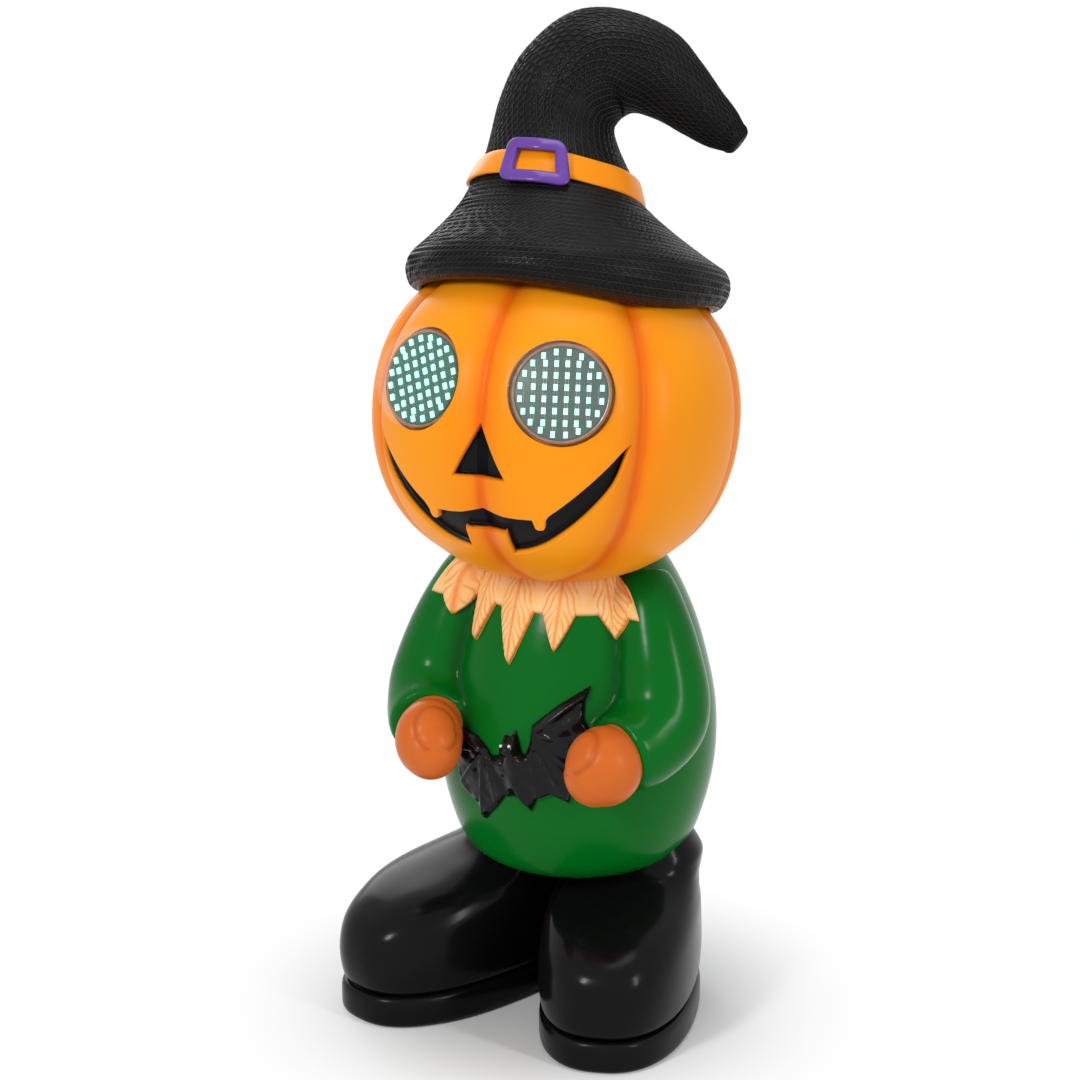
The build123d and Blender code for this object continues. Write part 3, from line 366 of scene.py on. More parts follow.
# ---------------------------------------------------------------- finishes
@dataclass(frozen=True)
class Finish:
    """One painted or moulded surface.

    Attributes:
        slot: The record's material slot; not used by this script.
        colour: Main colour.
        second: Colour of the mottling.
        mottle: Cells of the mottling per metre.
        mottle_share: How much of the second colour shows, from 0 to 1.
        masks: Painted masks, each with its colour.
        roughness: Roughness of the surface.
        rough_spread: How much the roughness varies.
        specular: Strength of the plain reflection, 0.5 for bare plastic.
        coat: Weight of a clear coat.
        grain: Cells of the fine relief per metre.
        grain_height: Height of the fine relief in metres.
        swell: Cells of the broad relief per metre.
        swell_height: Height of the broad relief in metres.
        metal: Metallic share.
        glow: Strength of the light that it gives off.
        woven: Colour of the threads' tops where the surface follows a woven pattern.
    """

    slot: str
    colour: Colour
    second: Colour
    mottle: float = 25.0
    mottle_share: float = 0.3
    masks: tuple[tuple[str, Colour], ...] = ()
    roughness: float = 0.3
    rough_spread: float = 0.08
    specular: float = 0.3
    coat: float = 0.0
    grain: float = 900.0
    grain_height: float = 0.00003
    swell: float = 40.0
    swell_height: float = 0.0
    metal: float = 0.0
    glow: float = 0.0
    woven: Colour | None = None

    def build(self, name: str) -> bpy.types.Material:
        """Makes the material.

        Args:
            name: Name of the material.
        Returns:
            The material with its nodes.
        """
        material = bpy.data.materials.new(name)
        material.use_nodes = True
        tree = material.node_tree
        shader = tree.nodes["Principled BSDF"]
        place = tree.nodes.new("ShaderNodeTexCoord").outputs["Object"]
        shader.inputs["Metallic"].default_value = self.metal
        shader.inputs["Specular IOR Level"].default_value = self.specular
        shader.inputs["Coat Weight"].default_value = self.coat
        shader.inputs["Coat Roughness"].default_value = 0.08
        colour = self._mottled(tree, place)
        threads = self._threads(tree) if self.woven else None
        if threads is not None:
            colour = self._mix(tree, threads, colour, self.woven)[0]
        for mask, tint in self.masks:
            read = tree.nodes.new("ShaderNodeAttribute")
            read.attribute_name = mask
            colour = self._mix(tree, read.outputs["Fac"], colour, tint)[0]
        tree.links.new(colour, shader.inputs["Base Color"])
        tree.links.new(self._roughness(tree, place), shader.inputs["Roughness"])
        tree.links.new(self._relief(tree, place, threads), shader.inputs["Normal"])
        if self.glow:
            shader.inputs["Emission Color"].default_value = (*self.colour, 1)
            shader.inputs["Emission Strength"].default_value = self.glow
        return material

    def _noise(self, tree: bpy.types.NodeTree, place: bpy.types.NodeSocket, scale: float,
               detail: float) -> bpy.types.NodeSocket:
        """A noise texture.

        Args:
            tree: The material's nodes.
            place: Where the noise is read.
            scale: Cells per metre.
            detail: Octaves.
        Returns:
            Its factor.
        """
        noise = tree.nodes.new("ShaderNodeTexNoise")
        noise.inputs["Scale"].default_value = scale
        noise.inputs["Detail"].default_value = detail
        tree.links.new(place, noise.inputs["Vector"])
        return noise.outputs["Fac"]

    def _mix(self, tree: bpy.types.NodeTree, factor: bpy.types.NodeSocket, first: bpy.types.NodeSocket | None,
             second: Sequence[float]) -> tuple[bpy.types.NodeSocket, bpy.types.Node]:
        """A colour mix towards a second colour.

        Args:
            tree: The material's nodes.
            factor: Share of the second colour.
            first: The first colour, or nothing where it is set on the node.
            second: The second colour.
        Returns:
            The mixed colour and its node.
        """
        mix = tree.nodes.new("ShaderNodeMix")
        mix.data_type = "RGBA"
        mix.clamp_factor = True
        tree.links.new(factor, mix.inputs[0])
        if first is not None:
            tree.links.new(first, mix.inputs[6])
        mix.inputs[7].default_value = (*second, 1)
        return mix.outputs[2], mix

    def _math(self, tree: bpy.types.NodeTree, kind: str, first: bpy.types.NodeSocket,
              second: bpy.types.NodeSocket | float) -> bpy.types.NodeSocket:
        """One sum in the node tree.

        Args:
            tree: The material's nodes.
            kind: Name of the operation.
            first: First input.
            second: Second input, a socket or a number.
        Returns:
            The result.
        """
        node = tree.nodes.new("ShaderNodeMath")
        node.operation = kind
        tree.links.new(first, node.inputs[0])
        if isinstance(second, float):
            node.inputs[1].default_value = second
        else:
            tree.links.new(second, node.inputs[1])
        return node.outputs[0]

    def _threads(self, tree: bpy.types.NodeTree) -> bpy.types.NodeSocket:
        """Reads the woven pattern that the mesh carries.

        Args:
            tree: The material's nodes.
        Returns:
            1 on the threads, and 0 in the gaps between them.
        """
        read = tree.nodes.new("ShaderNodeAttribute")
        read.attribute_name = "weave"
        split = tree.nodes.new("ShaderNodeSeparateXYZ")
        tree.links.new(read.outputs["Vector"], split.inputs[0])
        away = [self._math(tree, "PINGPONG", split.outputs[axis], 0.5) for axis in (0, 1)]
        ridges = []
        for distance in away:
            ramp = tree.nodes.new("ShaderNodeMapRange")
            ramp.interpolation_type = "SMOOTHSTEP"
            ramp.inputs["From Min"].default_value = 0.04
            ramp.inputs["From Max"].default_value = 0.2
            ramp.inputs["To Min"].default_value = 1.0
            ramp.inputs["To Max"].default_value = 0.0
            tree.links.new(distance, ramp.inputs["Value"])
            ridges.append(ramp.outputs["Result"])
        knot = self._math(tree, "MULTIPLY", away[0], away[1])
        knot = self._math(tree, "POWER", self._math(tree, "MULTIPLY", knot, 4.0), 3.0)
        knot = self._math(tree, "MULTIPLY", knot, 0.6)
        return self._math(tree, "MAXIMUM", self._math(tree, "MAXIMUM", ridges[0], ridges[1]), knot)

    def _mottled(self, tree: bpy.types.NodeTree, place: bpy.types.NodeSocket) -> bpy.types.NodeSocket:
        """The main colour with soft patches of the second one.

        Args:
            tree: The material's nodes.
            place: Where the noise is read.
        Returns:
            The colour.
        """
        ramp = tree.nodes.new("ShaderNodeMapRange")
        ramp.inputs["From Min"].default_value = 0.35
        ramp.inputs["From Max"].default_value = 0.7
        ramp.inputs["To Max"].default_value = self.mottle_share
        tree.links.new(self._noise(tree, place, self.mottle, 4), ramp.inputs["Value"])
        colour, mix = self._mix(tree, ramp.outputs["Result"], None, self.second)
        mix.inputs[6].default_value = (*self.colour, 1)
        return colour

    def _roughness(self, tree: bpy.types.NodeTree, place: bpy.types.NodeSocket) -> bpy.types.NodeSocket:
        """Roughness that varies a little over the surface.

        Args:
            tree: The material's nodes.
            place: Where the noise is read.
        Returns:
            The roughness.
        """
        span = tree.nodes.new("ShaderNodeMapRange")
        span.inputs["To Min"].default_value = max(self.roughness - self.rough_spread, 0.02)
        span.inputs["To Max"].default_value = self.roughness + self.rough_spread
        tree.links.new(self._noise(tree, place, self.mottle * 3, 3), span.inputs["Value"])
        return span.outputs["Result"]

    def _relief(self, tree: bpy.types.NodeTree, place: bpy.types.NodeSocket,
                threads: bpy.types.NodeSocket | None) -> bpy.types.NodeSocket:
        """Fine grain, with a broad unevenness and any woven threads under it.

        Args:
            tree: The material's nodes.
            place: Where the noise is read.
            threads: Height of the woven threads, or nothing on a plain surface.
        Returns:
            The normal.
        """
        layers = []
        if self.swell_height:
            layers.append((self._noise(tree, place, self.swell, 2), self.swell_height))
        if threads is not None:
            layers.append((threads, THREAD_HEIGHT))
        layers.append((self._noise(tree, place, self.grain, 2), self.grain_height))
        normal = None
        for height, distance in layers:
            bump = tree.nodes.new("ShaderNodeBump")
            bump.inputs["Strength"].default_value = 1.0
            bump.inputs["Distance"].default_value = distance
            tree.links.new(height, bump.inputs["Height"])
            if normal is not None:
                tree.links.new(normal, bump.inputs["Normal"])
            normal = bump.outputs["Normal"]
        return normal


@dataclass(frozen=True)
class ClearPlastic:
    """Clear moulded plastic, such as the eye lens."""

    slot: str
    colour: Colour = (0.9, 0.93, 0.92)
    opacity: float = 0.05
    roughness: float = 0.05

    def build(self, name: str) -> bpy.types.Material:
        """Makes the material.

        Args:
            name: Name of the material.
        Returns:
            The material with its nodes.
        """
        material = bpy.data.materials.new(name)
        material.use_nodes = True
        tree = material.node_tree
        shader = tree.nodes["Principled BSDF"]
        shader.inputs["Base Color"].default_value = (*self.colour, 1)
        shader.inputs["Alpha"].default_value = self.opacity
        shader.inputs["Coat Weight"].default_value = 1.0
        shader.inputs["Coat Roughness"].default_value = 0.03
        place = tree.nodes.new("ShaderNodeTexCoord").outputs["Object"]
        noise = tree.nodes.new("ShaderNodeTexNoise")
        noise.inputs["Scale"].default_value = 260.0
        tree.links.new(place, noise.inputs["Vector"])
        span = tree.nodes.new("ShaderNodeMapRange")
        span.inputs["To Min"].default_value = self.roughness * 0.5
        span.inputs["To Max"].default_value = self.roughness * 1.5
        tree.links.new(noise.outputs["Fac"], span.inputs["Value"])
        tree.links.new(span.outputs["Result"], shader.inputs["Roughness"])
        return material


class Coat(Enum):
    """Every finish on the figure."""

    # Pumpkin orange. The darker red-orange along the rib grooves is partly the piece's airbrushed tint and
    # partly painted shade in the grooves; the dark mask is the black paint in the carved recesses.
    PUMPKIN = Finish("pumpkin_orange", (0.96, 0.33, 0.007), (0.93, 0.27, 0.006), 9, 0.45,
                     (("groove_tint_and_shade", (0.80, 0.115, 0.003)), ("dark", (0.005, 0.005, 0.006))), 0.36, 0.06,
                     specular=0.12, coat=0.0, grain=700, grain_height=0.00002, swell=35, swell_height=0.00012)
    HAT = Finish("hat_weave", (0.0015, 0.0015, 0.0017), (0.005, 0.0045, 0.004), 60, 0.6,
                 (("under", (0.045, 0.014, 0.003)),), 0.22, 0.08, specular=0.15, grain=1400,
                 grain_height=0.0001,
                 woven=(0.018, 0.0175, 0.017))
    BAND = Finish("band_orange", (0.93, 0.29, 0.004), (0.88, 0.23, 0.004), 30, 0.4, (), 0.3, 0.06,
                  specular=0.14,
                  coat=0.0, grain=600, grain_height=0.00002, swell=60, swell_height=0.00025)
    BUCKLE = Finish("buckle_purple", (0.125, 0.042, 0.32), (0.095, 0.03, 0.25), 60, 0.5,
                    (("lower_outer_edge_dark", (0.03, 0.01, 0.06)),), 0.25, 0.07, specular=0.3, coat=0.15, grain=700,
                    grain_height=0.00002, swell=90, swell_height=0.00025)
    # Trunk green. Its crease mask is painted shade: a darker green in the folds between the sleeves and the
    # trunk.
    GREEN = Finish("body_green", (0.0, 0.145, 0.012), (0.0, 0.11, 0.008), 14, 0.5,
                   (("crease", (0.0, 0.035, 0.003)),), 0.2, 0.05, specular=0.1, coat=0.0, grain=500,
                   grain_height=0.000015, swell=28, swell_height=0.0003)
    # Hand colour. Its crease mask is painted shade: a darker brown along the fist's crease.
    HAND = Finish("hand_brown", (0.66, 0.145, 0.02), (0.56, 0.105, 0.014), 30, 0.5,
                  (("crease", (0.36, 0.05, 0.006)),), 0.34, 0.06, specular=0.14, coat=0.0, grain=700,
                  grain_height=0.00002, swell=50, swell_height=0.0002)
    BOOT = Finish("boot_black", (0.0035, 0.0035, 0.004), (0.007, 0.0065, 0.007), 20, 0.5, (), 0.2, 0.06,
                  specular=0.1, coat=0.0, grain=500, grain_height=0.00001, swell=22, swell_height=0.0003)
    SOLE = Finish("sole_black", (0.0035, 0.0035, 0.004), (0.007, 0.007, 0.0075), 30, 0.5, (), 0.24, 0.07,
                  specular=0.1, coat=0.0, grain=500, grain_height=0.00002, swell=40, swell_height=0.0002)
    LEAF = Finish("leaf_cream", (0.93, 0.55, 0.2), (0.95, 0.64, 0.32), 90, 0.8,
                  (("vein", (0.8, 0.2, 0.006)),), 0.42, 0.06, specular=0.14, coat=0.0, grain=600,
                  grain_height=0.00003, swell=220, swell_height=0.0002)
    BAT = Finish("bat_black", (0.0035, 0.0035, 0.004), (0.007, 0.0065, 0.007), 60, 0.5, (), 0.18, 0.06,
                 specular=0.2, coat=0.0, grain=600, grain_height=0.00002, swell=120, swell_height=0.0003)
    BAT_EYE = Finish("bat_black", (0.75, 0.85, 0.78), (0.6, 0.7, 0.64), 200, 0.3, roughness=0.25)
    BOARD = Finish("board_green", (0.02, 0.06, 0.045), (0.035, 0.08, 0.06), 120, 0.6, roughness=0.35,
                   specular=0.2, grain_height=0.00002)
    # The far eye's board in a deeper green. The near eye keeps the greyer board finish, so the difference
    # between the eyes is a painted grey reflection on the near lens.
    BOARD_WITHOUT_LENS_REFLECTION = Finish("board_green", (0.0, 0.1, 0.065), (0.0, 0.14, 0.09), 120, 0.6, roughness=0.35,
                        specular=0.1, grain_height=0.00002)
    TRACE = Finish("board_green", (0.2, 0.23, 0.21), (0.32, 0.34, 0.32), 200, 0.6, roughness=0.35,
                   grain_height=0.00002, metal=0.4)
    # Brown of the painted lens wall: the orange socket wall as seen in shade through the clear lens, painted
    # opaque.
    RING = Finish("clear_lens", (0.2, 0.075, 0.02), (0.34, 0.14, 0.04), 160, 0.7, roughness=0.22,
                  specular=0.5,
                  coat=0.4)
    # Painted highlight: the thin bright lines along the lens's side wall.
    LENS_WALL_HIGHLIGHT = Finish("clear_lens", (0.5, 0.36, 0.2), (0.62, 0.5, 0.34), 160, 0.7, roughness=0.2,
                       specular=0.5,
                       coat=0.5)
    LED_BODY = Finish("led_white", (0.4, 0.92, 0.72), (0.5, 0.95, 0.78), 300, 0.4, roughness=0.4, glow=1.0)
    LED_CORE = Finish("led_white", (0.7, 1.0, 0.88), (0.85, 1.0, 0.94), 300, 0.3, roughness=0.4, glow=2.6)
    LINER = Finish("liner_black", (0.003, 0.003, 0.004), (0.006, 0.006, 0.007), 60, 0.5, roughness=0.5,
                   specular=0.05)
    HIDDEN = Finish("hidden_black", (0.02, 0.02, 0.022), (0.035, 0.035, 0.037), 80, 0.5, roughness=0.45,
                    grain=1500, grain_height=0.00006)
    STEEL = Finish("screw_steel", (0.55, 0.55, 0.56), (0.4, 0.4, 0.41), 400, 0.5, roughness=0.3, metal=1.0)
    SPRING = Finish("contact_steel", (0.66, 0.65, 0.6), (0.5, 0.49, 0.45), 400, 0.5, roughness=0.28,
                    metal=1.0)
    CELL = Finish("cell_jacket", (0.7, 0.2, 0.04), (0.62, 0.16, 0.03), 120, 0.5, roughness=0.3)
    CHIP = Finish("component_black", (0.014, 0.014, 0.014), (0.03, 0.03, 0.03), 300, 0.5, roughness=0.5)
    KNOB = Finish("knob_black", (0.02, 0.02, 0.02), (0.04, 0.04, 0.04), 300, 0.5, roughness=0.5, grain=2500,
                  grain_height=0.00008)
    CABLE = Finish("cable_black", (0.012, 0.012, 0.012), (0.02, 0.02, 0.02), 200, 0.5, roughness=0.45)
    CLEAR = ClearPlastic("clear_lens")


class PaintShop:
    """Makes each finish once and hands it out."""

    def __init__(self) -> None:
        """Starts with no material made."""
        self.made: dict[Coat, bpy.types.Material] = {}

    def material(self, coat: Coat) -> bpy.types.Material:
        """The material of a finish."""
        if coat not in self.made:
            self.made[coat] = coat.value.build(coat.name.lower())
        return self.made[coat]

    def dress_node(self, node: str, coat: Coat) -> None:
        """Gives a carried-over CAD node its finish."""
        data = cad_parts[node].data
        data.materials.clear()
        data.materials.append(self.material(coat))
        log.info("dressed %s", node)


@dataclass
class Workshop:
    """Sets finished meshes into the scene.

    Attributes:
        site: Where the working frame lies.
        paints: The finishes.
    """

    site: Site
    paints: PaintShop

    def finish(self, obj: bpy.types.Object, name: str, coats: Sequence[Coat], replaced: Sequence[str] = (),
               sharp: float = 50.0) -> bpy.types.Object:
        """Names, places, paints and mounts one piece.

        Args:
            obj: The piece in the working frame.
            name: Its name.
            coats: Its finishes, in the order of its material indices.
            replaced: CAD nodes that it stands for.
            sharp: Angle in degrees from which an edge stays crisp.
        Returns:
            The piece.
        """
        obj.name = name
        obj.data.name = name
        obj.data.transform(self.site.matrix())
        obj.data.materials.clear()
        for coat in coats:
            obj.data.materials.append(self.paints.material(coat))
        obj.data.shade_smooth()
        obj.data.set_sharp_from_angle(angle=math.radians(sharp))
        obj.data.update()
        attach(obj, FIGURE)
        if replaced:
            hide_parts(*replaced)
        log.info("%s: %d faces", name, len(obj.data.polygons))
        return obj


# ---------------------------------------------------------------- eyes
class Side(Enum):
    """The figure's own left, towards +X, and right."""

    LEFT = 1
    RIGHT = -1

    @property
    def word(self) -> str:
        """The side as it stands in node names."""
        return self.name.lower()


@dataclass
class Eye:
    """One lit eye: a round board with its diodes behind a clear cup.

    Attributes:
        side: Which eye.
        middle: Middle of the diode faces on the +X side.
        swing: How far the eye looks outwards, in degrees.
        lift: How far it looks up.
        turn: How far its board is turned in its seat.
        board: Finish of the board.
        lens_radius: Radius of the clear cup.
        ring_radius: Radius of the outer ring of diodes.
        ring_count: Diodes in that ring.
        rows: Diodes in each row of the grid.
        pitch: Spacing of the grid across and up.
        package: Width and height of one diode.
    """

    side: Side
    middle: tuple[float, float, float] = (42.4, -95.9, 405.6)
    swing: float = 17.0
    lift: float = 20.0
    turn: float = 0.0
    board: Coat = Coat.BOARD
    lens_radius: float = 28.8
    board_radius: float = 25.3
    board_thick: float = 1.6
    ring_radius: float = 22.8
    ring_count: int = 20
    rows: tuple[int, ...] = (4, 6, 6, 6, 6, 4)
    pitch: tuple[float, float] = (6.1, 6.5)
    # painted lens wall, standing for the orange socket seen in shade through the clear lens: inner and outer
    # radius, top and foot
    painted_wall_band: tuple[float, float, float, float] = (25.7, 27.6, -1.8, -6.0)
    painted_highlight_bevel: float = 0.35
    package: tuple[float, float] = (2.3, 3.4)
    led_thick: float = 1.2

    def frame(self) -> Matrix:
        """The eye's own frame: +Z out of the face, +Y up, about the middle of the diode faces."""
        swing = math.radians(self.swing)
        lift = math.radians(self.lift)
        out = Vector((math.sin(swing) * math.cos(lift), -math.cos(swing) * math.cos(lift), math.sin(lift)))
        across = Vector((math.cos(swing), math.sin(swing), 0))
        x, y, z = self.middle
        if self.side is Side.RIGHT:
            out.x, across.y, x = -out.x, -across.y, -x
        up = out.cross(across)
        turned = Matrix((across, up, out)).transposed().to_4x4()
        return Matrix.Translation((x, y, z)) @ turned

    def diodes(self) -> list[Point]:
        """Middle of each diode on the board."""
        places = []
        for index in range(self.ring_count):
            angle = math.radians((index + 0.5) * 360 / self.ring_count)
            places.append((self.ring_radius * math.cos(angle), self.ring_radius * math.sin(angle)))
        for row, count in enumerate(self.rows):
            y = (row - (len(self.rows) - 1) / 2) * self.pitch[1]
            for column in range(count):
                places.append(((column - (count - 1) / 2) * self.pitch[0], y))
        return places

    def build(self, shop: Workshop) -> None:
        """Builds the board, its traces, diodes and ring, and dresses the clear cup.

        Args:
            shop: Takes the finished pieces.
        """
        turned = self.frame() @ Matrix.Rotation(math.radians(self.turn), 4, "Z")
        self._board(shop, turned)
        self._diodes(shop, turned)
        self._painted_lens_wall(shop, turned)
        shop.paints.dress_node(self.side.word + "_eye_lens", Coat.CLEAR)
        shop.paints.dress_node(self.side.word + "_eye_cup", Coat.HIDDEN)
        shop.paints.dress_node(self.side.word + "_eye_screws", Coat.STEEL)
        shop.paints.dress_node(self.side.word + "_eye_lead", Coat.CABLE)

    def _board(self, shop: Workshop, turned: Matrix) -> None:
        """The round board, with raised traces beside the columns of diodes.

        Args:
            shop: Takes the finished pieces.
            turned: The eye's frame with the board's own turn.
        """
        bm = bmesh.new()
        middle = Matrix.Translation((0, 0, -self.led_thick - self.board_thick / 2))
        radius = self.board_radius
        bmesh.ops.create_cone(bm, cap_ends=True, segments=96, radius1=radius, radius2=radius,
                              depth=self.board_thick, matrix=turned @ middle)
        rim = [edge for edge in bm.edges if len(edge.link_faces) == 2
               and max(len(face.verts) for face in edge.link_faces) > 4]
        bmesh.ops.bevel(bm, geom=rim, offset=0.2, segments=2, profile=0.5, affect="EDGES", material=-1)
        shop.finish(draft(bm), self.side.word + "_eye_board", [self.board], [self.side.word + "_led_board"])
        bm = bmesh.new()
        top = -self.led_thick + 0.06
        half = self.board_radius - 4.0
        for column in range(-4, 4):
            x = (column + 0.5) * self.pitch[0]
            for shift in (-0.75, 0.75):
                reach = math.sqrt(max(half ** 2 - (x + shift) ** 2, 0.0))
                if reach < 3:
                    continue
                for low, high in self._pieces(-reach, reach, column):
                    size = Matrix.Diagonal((0.35, high - low, 0.12, 1))
                    place = Matrix.Translation((x + shift, (low + high) / 2, top))
                    bmesh.ops.create_cube(bm, size=1.0, matrix=turned @ place @ size)
        shop.finish(draft(bm), self.side.word + "_eye_traces", [Coat.TRACE])

    def _painted_lens_wall(self, shop: Workshop, turned: Matrix) -> None:
        """A brown ring round the board, painted to stand for the orange socket wall seen in shade through the
        lens's clear side wall, with a painted highlight on its top edge.

        Args:
            shop: Takes the finished piece.
            turned: The eye's frame with the board's own turn.
        """
        inner, outer, top, foot = self.painted_wall_band
        edge = self.painted_highlight_bevel
        outline = [(inner, foot), (outer, foot), (outer, top), (outer - edge, top + edge),
                   (inner + edge, top + edge), (inner, top)]
        bm = bmesh.new()
        verts = [bm.verts.new((radius, 0, z)) for radius, z in outline]
        edges = [bm.edges.new(pair) for pair in zip(verts, verts[1:] + verts[:1])]
        bmesh.ops.spin(bm, geom=verts + edges, cent=(0, 0, 0), axis=(0, 0, 1), angle=2 * math.pi, steps=96,
                       use_merge=True)
        bmesh.ops.remove_doubles(bm, verts=bm.verts, dist=0.01)
        bmesh.ops.recalc_face_normals(bm, faces=bm.faces)
        # The top faces carry the painted highlight.
        for face in bm.faces:
            if face.calc_center_median().z > top:
                face.material_index = 1
        bmesh.ops.transform(bm, matrix=turned, verts=bm.verts)
        shop.finish(draft(bm), self.side.word + "_eye_painted_lens_wall", [Coat.RING, Coat.LENS_WALL_HIGHLIGHT])

    def _pieces(self, low: float, high: float, seed: int) -> list[Point]:
        """Splits a column's run into the stretches that carry a trace.

        Args:
            low: Where the run starts.
            high: Where it ends.
            seed: Number of the column, which varies the stretches.
        Returns:
            Start and end of each stretch.
        """
        cuts = [low]
        step = 5.0 + (seed * 7 % 5)
        while cuts[-1] + step < high:
            cuts.append(cuts[-1] + step)
            step = 4.0 + (len(cuts) * 5 + seed) % 6
        cuts.append(high)
        return [(a, b - 1.2) for a, b in zip(cuts, cuts[1:]) if b - a > 2.4]

    def _diodes(self, shop: Workshop, turned: Matrix) -> None:
        """The diode packages with a bright window in each.

        Args:
            shop: Takes the finished piece.
            turned: The eye's frame with the board's own turn.
        """
        bm = bmesh.new()
        for x, y in self.diodes():
            place = turned @ Matrix.Translation((x, y, -self.led_thick / 2))
            size = Matrix.Diagonal((self.package[0], self.package[1], self.led_thick, 1))
            before = set(bm.faces)
            bmesh.ops.create_cube(bm, size=1.0, matrix=place @ size)
            made = [face for face in bm.faces if face not in before]
            out = turned.to_3x3() @ Vector((0, 0, 1))
            front = max(made, key=lambda face: face.calc_center_median().dot(out))
            bmesh.ops.inset_individual(bm, faces=[front], thickness=0.36, depth=-0.12)
            front.material_index = 1
        shop.finish(draft(bm), self.side.word + "_eye_diodes", [Coat.LED_BODY, Coat.LED_CORE],
                    [self.side.word + "_led_array"], 20)


# ---------------------------------------------------------------- head
@dataclass
class Head:
    """The ribbed head with its carved face.

    Attributes:
        radius: Half width at the ribs.
        half_height: Height of the upper half.
        foot_height: Height of the lower half.
        fullness: How much fuller than an ellipse its profile is at 45 degrees.
        centre: Middle of the head.
        pitch: How far it looks up, in degrees.
        ribs: Number of ribs.
    """

    eyes: Sequence[Eye]
    radius: float = 106.0
    half_height: float = 93.3
    foot_height: float = 97.5
    fullness: float = 0.039
    centre: tuple[float, float, float] = (0.0, -8.0, 371.0)
    pitch: float = 10.0
    ribs: int = 7
    groove_depth: float = 3.7
    groove_width: float = 9.0
    crease_depth: float = 0.45
    crease_width: float = 1.8
    recess: float = 5.0
    lip_edge: float = 0.9
    eye_gap: float = 0.3
    eye_floor: float = -9.0
    tooth_half: float = 12.5
    tooth_top: float = -47.0
    nose: tuple[Point, ...] = ((0, 16), (16, -14), (-16, -14))
    upper_lip: tuple[Point, ...] = ((0, -32.9), (6.5, -34.6), (12.7, -36.0), (21, -36.8), (28.6, -37.0))
    peg: tuple[Point, ...] = ((29.6, -42.6), (31.4, -43.6), (34.2, -43.2), (35.2, -41.2), (35.6, -38.2),
                              (38, -34.4))
    cheek: tuple[Point, ...] = ((38, -34.4), (47.5, -26.8), (57.5, -17.6), (67.5, -7.0), (76.5, 5.0))
    jaw: tuple[Point, ...] = ((76.5, 5.0), (71.8, -13.0), (64, -25.6), (51, -39.6), (35, -52.3), (23, -58.4),
                              (12.5, -61.2))

    def mouth(self) -> list[Point]:
        """Outline of the mouth from the middle of the upper lip all the way round."""
        half = list(self.upper_lip) + list(self.peg)
        half += [tuple(p) for p in smooth_line(self.cheek, 14)[1:]]
        half += [tuple(p) for p in smooth_line(self.jaw, 28)[1:]]
        half += [(self.tooth_half, self.tooth_top + 1.2), (self.tooth_half - 1.2, self.tooth_top)]
        return half + [(-x, z) for x, z in reversed(half[1:])]

    def local(self) -> Matrix:
        """From the head's own frame to the working frame."""
        return Matrix.Translation(self.centre) @ Matrix.Rotation(math.radians(-self.pitch), 4, "X")

    def egg(self, way: np.ndarray) -> tuple[np.ndarray, np.ndarray, np.ndarray]:
        """The ribbed skin without its face.

        Args:
            way: Unit directions in the head's own frame.
        Returns:
            Places and normals in the working frame, and the distance from the nearest groove.
        """
        way = way / np.linalg.norm(way, axis=1)[:, None]
        latitude = np.arcsin(np.clip(way[:, 2], -1, 1))
        fuller = 1 + self.fullness * np.sin(2 * latitude) ** 2
        tall = np.where(way[:, 2] < 0, self.foot_height, self.half_height)
        size = np.stack([np.full(len(way), self.radius), np.full(len(way), self.radius), tall], axis=1)
        place = way * size * fuller[:, None]
        normal = way / size
        normal /= np.linalg.norm(normal, axis=1)[:, None]
        angle = np.arctan2(way[:, 1], way[:, 0]) + math.pi / 2
        step = 2 * math.pi / self.ribs
        off = (angle + step / 2) % step - step / 2
        across = np.abs(off) * np.hypot(place[:, 0], place[:, 1])
        fade = 1 - smoothstep(math.radians(66), math.radians(84), np.abs(latitude))
        sink = self.groove_depth * hump(across, self.groove_width)
        sink += self.crease_depth * hump(across, self.crease_width)
        place = place - normal * (sink * fade)[:, None]
        turn = np.array(self.local().to_3x3())
        return place @ turn.T + np.array(self.centre), normal @ turn.T, across

    def face_gap(self, place: np.ndarray) -> np.ndarray:
        """Distance from the outlines of the mouth and the nose.

        Args:
            place: Places on the skin.
        Returns:
            The distances, below 0 inside.
        """
        z = place[:, 2] - self.centre[2]
        mouth = outline_distance(self.mouth(), place[:, 0], z)[0]
        nose = outline_distance(self.nose, place[:, 0], z)[0]
        return np.where(place[:, 1] < self.centre[1] - 15, np.minimum(mouth, nose), 99.0)

    def eye_gap_at(self, place: np.ndarray) -> np.ndarray:
        """Distance from the nearest eye bore's edge.

        Args:
            place: Places on the skin.
        Returns:
            The distances.
        """
        gap = np.full(len(place), 99.0)
        for eye in self.eyes:
            inner = np.array(eye.frame().inverted())
            local = place @ inner[:3, :3].T + inner[:3, 3]
            ring = np.abs(np.hypot(local[:, 0], local[:, 1]) - eye.lens_radius - self.eye_gap)
            gap = np.where(local[:, 2] > -25, np.minimum(gap, ring), gap)
        return gap

